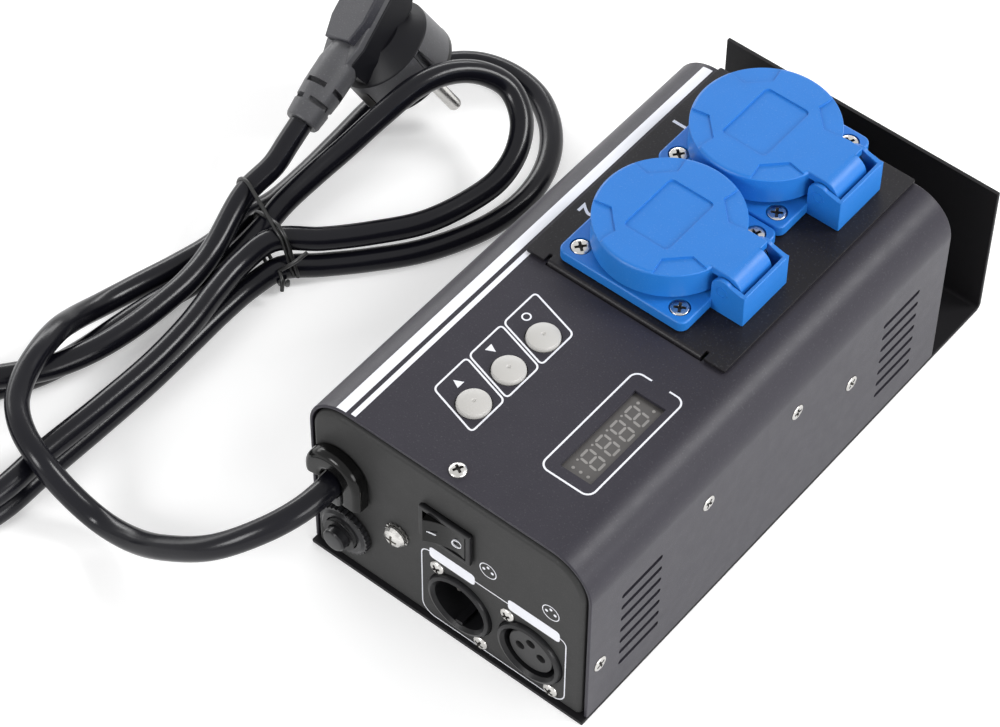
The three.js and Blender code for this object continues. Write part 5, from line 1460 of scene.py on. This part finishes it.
@dataclass
class MainsCord:
    """The folded cord with its tie and angled plug."""

    bench: Bench
    length: float = 1.5154
    face_radius: float = 0.0183
    tilt: float = 6.5
    boot_axis: float = 0.0259
    boot_end: float = -0.0398
    pin: float = 0.0024
    pin_reach: float = 0.019
    face_centre: Vector = field(default_factory=lambda: Vector((-0.148, 0.1565, 0.0222)))
    heading: Vector = field(default_factory=lambda: Vector((-0.085, 0.929, 0.361)).normalized())
    pins: Vector = field(default_factory=lambda: Vector((0.414, 0.362, -0.835)).normalized())

    def build(self) -> None:
        with_pieces = [*self.plug_body(), *self.plug_metal(), self.tie()]
        cord = self.cord()

    def plug_frame(self) -> Matrix:
        """The plug's own frame: Y runs from the cable to the head, -Z to the pins."""
        across = self.pins.cross(self.heading)
        made = Matrix.Identity(4)
        for row in range(3):
            made[row][0] = across[row]
            made[row][1] = self.heading[row]
            made[row][2] = -self.pins[row]
            made[row][3] = self.face_centre[row]
        return made

    def route(self) -> list[Vector]:
        """The cord's centreline from inside the bushing to inside the plug's boot."""
        frame = self.plug_frame()
        entry = [frame @ Vector((0.0, self.boot_end - GAP - before, self.boot_axis))
                 for before in (0.017, 0.008, 0.0)]
        passes = (*LEAD_ROUTE, *OUTER_LOOP, *fold(FIRST_LAYER), *INNER_LOOP, *fold(SECOND_LAYER), *TAIL_ROUTE)
        return smooth_curve([*(Vector(p) for p in passes), *entry], 8)

    def cord(self) -> bpy.types.Object:
        """The sheathed cord as one round curve."""
        curve = bpy.data.curves.new("mains_cord", "CURVE")
        curve.dimensions = "3D"
        spline = curve.splines.new("POLY")
        points = self.route()
        spline.points.add(len(points) - 1)
        for point, place in zip(spline.points, points):
            point.co = (place.x, place.y + self.bench.front, place.z, 1.0)
        spline.use_smooth = True
        curve.bevel_depth = CORD_RADIUS
        curve.bevel_resolution = 8
        curve.use_fill_caps = True
        piece = bpy.data.objects.new("mains_cord", curve)
        bpy.context.scene.collection.objects.link(piece)
        return self.bench.settle(piece, SHEATH, "cord_lead", "cord_hank", "cord_tail", slot="cord_sheath",
                                 smooth=None)

    def band(self, inset: float, start: float, z0: float, z1: float) -> Solid:
        """One layer of the plug's head: a tongue from the boot to the far end, between two heights."""
        w = 0.009 - inset
        side = [(w - 0.0024, start), (w, start + 0.008), (w, 0.0124), (w - 0.003, 0.0174)]
        outline = [*side, *((-u, v) for u, v in reversed(side))]
        shape = Solid.slab(Axis.Z, outline, z0, z1, 0.0006)
        lean = Matrix.Rotation(math.radians(self.tilt), 4, "X")
        pivot = Matrix.Translation((0.0, -0.0175, 0.0272))
        return shape.moved(pivot @ lean @ pivot.inverted())

    def boot_slots(self) -> list[Solid]:
        """Two rows of four slots across the boot, turned by half a step from each other."""
        made = []
        for row, y in enumerate((-0.0336, -0.0272)):
            for quarter in range(4):
                slot = Solid.block((-0.0038, 0.0038), (y, y + 0.0019), (0.0046, 0.0095))
                turn = Matrix.Rotation(math.radians(65 + 45 * row + 90 * quarter), 4, "Y")
                made.append(slot.moved(Matrix.Translation((0.0, 0.0, self.boot_axis)) @ turn))
        return made

    def pin_holes(self) -> list[Solid]:
        """The two holes in the plug's face that its pins come through."""
        return [Solid.bar(Axis.Z, self.pin + GAP, (side * PIN_SIDE, 0.0), -0.001, 0.005, 32)
                for side in (-1, 1)]

    def plug_body(self) -> list[bpy.types.Object]:
        """The moulded plug: round skirt, waisted head and slotted boot, with a glossy ring round its face,
        and painted shade: a near-black waisted head and a darker cap.
        """
        r, axis, end = self.face_radius, self.boot_axis, self.boot_end
        flank = [(0.0, 0.0004), (r - 0.0008, 0.0004), (r, 0.0012), (0.018, 0.0155), (0.0, 0.0155)]
        skirt = Solid.turned(Axis.Z, flank, (0.0, 0.0), 96)
        tools = self.pin_holes()
        for side in (-1, 1):
            groove = tuple(sorted((side * 0.0163, side * 0.0193)))
            tools.append(Solid.block(groove, (-0.0012, 0.0012), (-0.001, 0.0152)))
            earth = tuple(sorted((side * 0.0167, side * 0.0193)))
            tools.append(Solid.block((-0.004, 0.004), earth, (-0.001, 0.012)))
        skirt.cut(*tools).rounded(0.0003, Sharpness.SOFT, 50.0, clamp=False).moved(self.plug_frame())
        cone = [(0.0, 0.0152), (0.018, 0.0154), (0.0176, 0.0163), (0.0105, 0.0213), (0.0, 0.0213)]
        core = Solid.turned(Axis.Z, cone, (0.0, 0.0), 96).join(self.band(0.0, -0.0175, 0.0165, 0.0268))
        core.moved(self.plug_frame())
        cap = self.band(0.0003, -0.0095, 0.0282, 0.0324).moved(self.plug_frame())
        head = self.band(0.0004, -0.0175, 0.0256, 0.0292)
        boot = [(0.0, end), (0.0057, end), (0.0062, end + 0.001), (0.0072, -0.027), (0.0073, -0.017),
                (0.0058, -0.008), (0.0, -0.008)]
        head.join(Solid.turned(Axis.Y, boot, (0.0, axis), 48)).cut(*self.boot_slots())
        head.moved(self.plug_frame())
        rim, back = r + 0.00005, 0.0019
        ring = [(r - 0.0022, 0.0), (r - 0.0006, -0.0002), (rim, 0.0005), (rim, back), (r - 0.0022, back)]
        face = Solid.turned(Axis.Z, [(0.0, 0.0), *ring, (0.0, back)], (0.0, 0.0), 96)
        face.cut(*self.pin_holes()).moved(self.plug_frame())
        return [
            self.bench.dress(skirt, "plug_skirt", PLUG_SKIRT, "plug_body", slot="plug_plastic"),
            # The waisted head takes a near-black finish: painted shade under the cap.
            self.bench.dress(core, "plug_core", PLUG_CORE_SHADE, "plug_body", slot="plug_plastic"),
            # The cap takes a darker finish than the skirt and boot: painted shade on its top.
            self.bench.dress(cap, "plug_cap", PLUG_CAP_SHADE, "plug_body", slot="plug_plastic"),
            self.bench.dress(head, "plug_boot", PLUG_SKIRT, "plug_body", slot="plug_plastic"),
            self.bench.dress(face, "plug_face", BLACK_GLOSS, slot="plug_plastic"),
        ]

    def plug_metal(self) -> list[bpy.types.Object]:
        """The two pins; the earth strips stay as the frame has them."""
        made = []
        tip, r = self.pin_reach, self.pin
        profile = [(0.0, -tip), (r - 0.0012, -tip), (r - 0.0004, 0.0004 - tip), (r, 0.0013 - tip),
                   (r, 0.0046), (0.0, 0.0046)]
        for tag, side in (("left", -1), ("right", 1)):
            shape = Solid.turned(Axis.Z, profile, (side * PIN_SIDE, 0.0), 40).moved(self.plug_frame())
            made.append(self.bench.dress(shape, f"contact_{tag}", PLATED_STEEL, f"plug_pin_{tag}",
                                         slot="pin_nickel"))
        return [*made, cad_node("plug_earth_front"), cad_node("plug_earth_rear")]

    def tie(self) -> bpy.types.Object:
        """The wire drawn twice round the passes, with its twisted ends."""
        wire = 0.0007
        spots = [strand.value for strand in Strand]
        first = self.turn_round(spots, wire, (0.0024, -0.0026), 0.0)
        second = self.turn_round([spots[3], spots[4], spots[2]], wire, (0.0034, -0.0004), wire * 1.6)
        knot = Vector((0.0172, -0.0026, 0.0118))
        tails = []
        for reach in ((0.0215, -0.004, 0.0068), (0.0206, 0.0062, 0.0196)):
            tip = Vector(reach)
            bend = (knot + tip) / 2 + Vector((0.0012, 0.0, 0.001))
            tails.append(Solid.sweep(smooth_curve([knot, bend, tip], 6), arc((0.0, 0.0), wire, 0, 330, 11)))
        shape = merged(merged(first, second), merged(*tails))
        turn = Matrix.Rotation(math.atan2(TIE_ALONG.y, TIE_ALONG.x), 4, "Z")
        shape.moved(Matrix.Translation(TIE_CENTRE) @ turn)
        return self.bench.dress(shape, "tie_wire", TIE_PLASTIC, "cord_tie", slot="tie_plastic")

    def turn_round(self, spots: Sequence[Point], wire: float, skew: Point, lift: float) -> Solid:
        """One turn of the wire round some of the cord's passes, its start and end apart by the skew."""
        reach = CORD_RADIUS + wire + 0.0002 + lift
        dots = [(s + reach * math.cos(math.pi * i / 16), z + reach * math.sin(math.pi * i / 16))
                for s, z in spots for i in range(32)]
        ring = hull(dots)
        start = max(range(len(ring)), key=lambda i: ring[i][0])
        ring = [*ring[start:], *ring[:start], ring[start]]
        count = len(ring) - 1
        path = [Vector((u, skew[0] + (skew[1] - skew[0]) * i / count, v)) for i, (u, v) in enumerate(ring)]
        return Solid.sweep(path, arc((0.0, 0.0), wire, 0, 330, 11))


def hull(points: Sequence[Point]) -> list[Point]:
    """The convex outline round a set of points."""
    ordered = sorted(points)

    def chain(row: Sequence[Point]) -> list[Point]:
        """One half of the outline."""
        kept: list[Point] = []
        for p in row:
            while len(kept) > 1:
                (ax, ay), (bx, by) = kept[-2], kept[-1]
                if (bx - ax) * (p[1] - ay) - (by - ay) * (p[0] - ax) > 1e-12:
                    break
                kept.pop()
            kept.append(p)
        return kept[:-1]

    return [*chain(ordered), *chain(ordered[::-1])]


@dataclass
class Interior:
    """The CAD nodes that keep their shape and only take a finish."""

    bench: Bench

    def build(self) -> None:
        """Gives each carried-over node its finish."""
        finishes = {
            BLACK_NYLON: ("tactile_switch_1", "tactile_switch_2", "tactile_switch_3"),
            PLATED_STEEL: ("earth_washer", "earth_screw", "earth_nut", "hinge_pin_front", "hinge_pin_rear",
                           "lid_spring_front", "lid_spring_rear"),
            CONTACT_BRASS: ("earth_strap_front", "earth_strap_rear"),
            DARK_CONTACT: ("plug_earth_front", "plug_earth_rear"),
            BOARD_GREEN: ("control_board", "power_board"),
            DRAWN_ALUMINIUM: ("heat_sink",),
            DEVICE_EPOXY: ("triac_1", "triac_2"),
            WINDING_COPPER: ("choke_1", "choke_2"),
            CORE_IRON: ("supply_transformer",),
            TERMINAL_GREEN: ("terminal_block",),
            CAPACITOR_SLEEVE: ("filter_capacitor",),
        }
        for finish, names in finishes.items():
            for name in names:
                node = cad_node(name)
                node.data.materials.clear()
                node.data.materials.append(finish.material())
                log.info("%s finished as %s", name, finish.name)


@dataclass
class Studio:
    """Pale floor, soft light and the camera."""

    position: Place = (0.39322, -0.56593, 0.88744)
    forward: Place = (-0.39256, 0.48812, -0.77951)
    up: Place = (-0.49573, 0.6016, 0.62636)
    lens: float = 125.5
    sensor: float = 36.0
    sky: float = 0.3
    floor_glow: float = 0.35
    target: Place = (-0.02, 0.0, 0.04)

    def build(self) -> None:
        """Makes the floor, lights and camera."""
        bpy.context.scene.view_settings.view_transform = "Standard"
        self.camera()
        self.floor()
        self.world()
        self.lamps()

    def camera(self) -> None:
        """The camera at the photograph's angle."""
        data = bpy.data.cameras.new("camera")
        data.lens = self.lens
        data.sensor_width = self.sensor
        data.sensor_fit = "HORIZONTAL"
        data.clip_start = 0.01
        data.clip_end = 50.0
        made = bpy.data.objects.new("camera", data)
        bpy.context.scene.collection.objects.link(made)
        back = -Vector(self.forward).normalized()
        right = Vector(self.up).cross(back).normalized()
        up = back.cross(right)
        matrix = Matrix.Identity(4)
        for row in range(3):
            matrix[row][0], matrix[row][1], matrix[row][2] = right[row], up[row], back[row]
            matrix[row][3] = self.position[row]
        made.matrix_world = matrix
        bpy.context.scene.camera = made

    def floor(self) -> None:
        """A wide pale floor that keeps the object's shadow."""
        half = 6.0
        mesh = bpy.data.meshes.new("floor")
        corners = [(-half, -half, 0), (half, -half, 0), (half, half, 0), (-half, half, 0)]
        mesh.from_pydata(corners, [], [(0, 1, 2, 3)])
        made = bpy.data.objects.new("floor", mesh)
        bpy.context.scene.collection.objects.link(made)
        material = bpy.data.materials.new("floor")
        material.use_nodes = True
        tree = material.node_tree
        shader = tree.nodes["Principled BSDF"]
        shader.inputs["Base Color"].default_value = (0.86, 0.86, 0.86, 1.0)
        shader.inputs["Roughness"].default_value = 0.9
        shader.inputs["Specular IOR Level"].default_value = 0.1
        shader.inputs["Emission Color"].default_value = (1.0, 1.0, 1.0, 1.0)
        glow = tree.nodes.new("ShaderNodeMath")
        glow.operation = "MULTIPLY"
        glow.inputs[1].default_value = self.floor_glow
        tree.links.new(self.seen(tree), glow.inputs[0])
        tree.links.new(glow.outputs[0], shader.inputs["Emission Strength"])
        mesh.materials.append(material)

    def seen(self, tree: bpy.types.NodeTree) -> bpy.types.NodeSocket:
        """1 for what the camera sees, straight or in metal and glass."""
        path = tree.nodes.new("ShaderNodeLightPath")
        total = path.outputs["Is Camera Ray"]
        for name in ("Is Glossy Ray", "Is Transmission Ray"):
            larger = tree.nodes.new("ShaderNodeMath")
            larger.operation = "MAXIMUM"
            tree.links.new(total, larger.inputs[0])
            tree.links.new(path.outputs[name], larger.inputs[1])
            total = larger.outputs[0]
        return total

    def world(self) -> None:
        """An even pale sky: white to the eye and in gloss, dimmer as light."""
        world = bpy.data.worlds.new("world")
        bpy.context.scene.world = world
        world.use_nodes = True
        tree = world.node_tree
        shader = tree.nodes["Background"]
        shader.inputs["Color"].default_value = (1.0, 1.0, 1.0, 1.0)
        spread = tree.nodes.new("ShaderNodeMapRange")
        spread.inputs["To Min"].default_value = self.sky
        spread.inputs["To Max"].default_value = 1.0
        tree.links.new(self.seen(tree), spread.inputs["Value"])
        tree.links.new(spread.outputs["Result"], shader.inputs["Strength"])

    def lamps(self) -> None:
        """Soft lamps: overhead from the rear right, in front, on the right, behind on the left, and left."""
        self.lamp("lamp_key", (0.75, 0.7, 1.05), (0.42, 0.42), 11.0)
        self.lamp("lamp_front", (-0.35, -1.2, 0.65), (0.45, 0.45), 9.0)
        self.lamp("lamp_right", (1.3, -0.05, 0.5), (1.3, 0.5), 14.0)
        self.lamp("lamp_back", (-1.05, 1.0, 0.66), (1.7, 0.26), 11.0)
        self.lamp("lamp_left", (-1.3, 0.2, 0.35), (1.2, 0.3), 4.0)

    def lamp(self, name: str, place: Place, size: Point, power: float) -> None:
        """One rectangular lamp that faces the object, its long side level."""
        data = bpy.data.lights.new(name, "AREA")
        data.shape = "RECTANGLE"
        data.size, data.size_y = size
        data.energy = power
        made = bpy.data.objects.new(name, data)
        bpy.context.scene.collection.objects.link(made)
        made.location = place
        made.rotation_mode = "QUATERNION"
        made.rotation_quaternion = (Vector(self.target) - Vector(place)).to_track_quat("-Z", "Y")


def main() -> None:
    """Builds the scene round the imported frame."""
    logging.basicConfig(level=logging.INFO, format="%(message)s")
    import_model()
    bench = Bench(front=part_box("top_cover")[0].y)
    Studio().build()
    MainsCord(bench).build()
    Housing(bench).build()
    Controls(bench).build()
    for place, y in OUTLET_Y.items():
        Outlet(bench, place, y).build()
    FrontPanel(bench).build()
    Interior(bench).build()
    log.info("%d pieces dressed", bench.count)


if __name__ == "__main__":
    main()
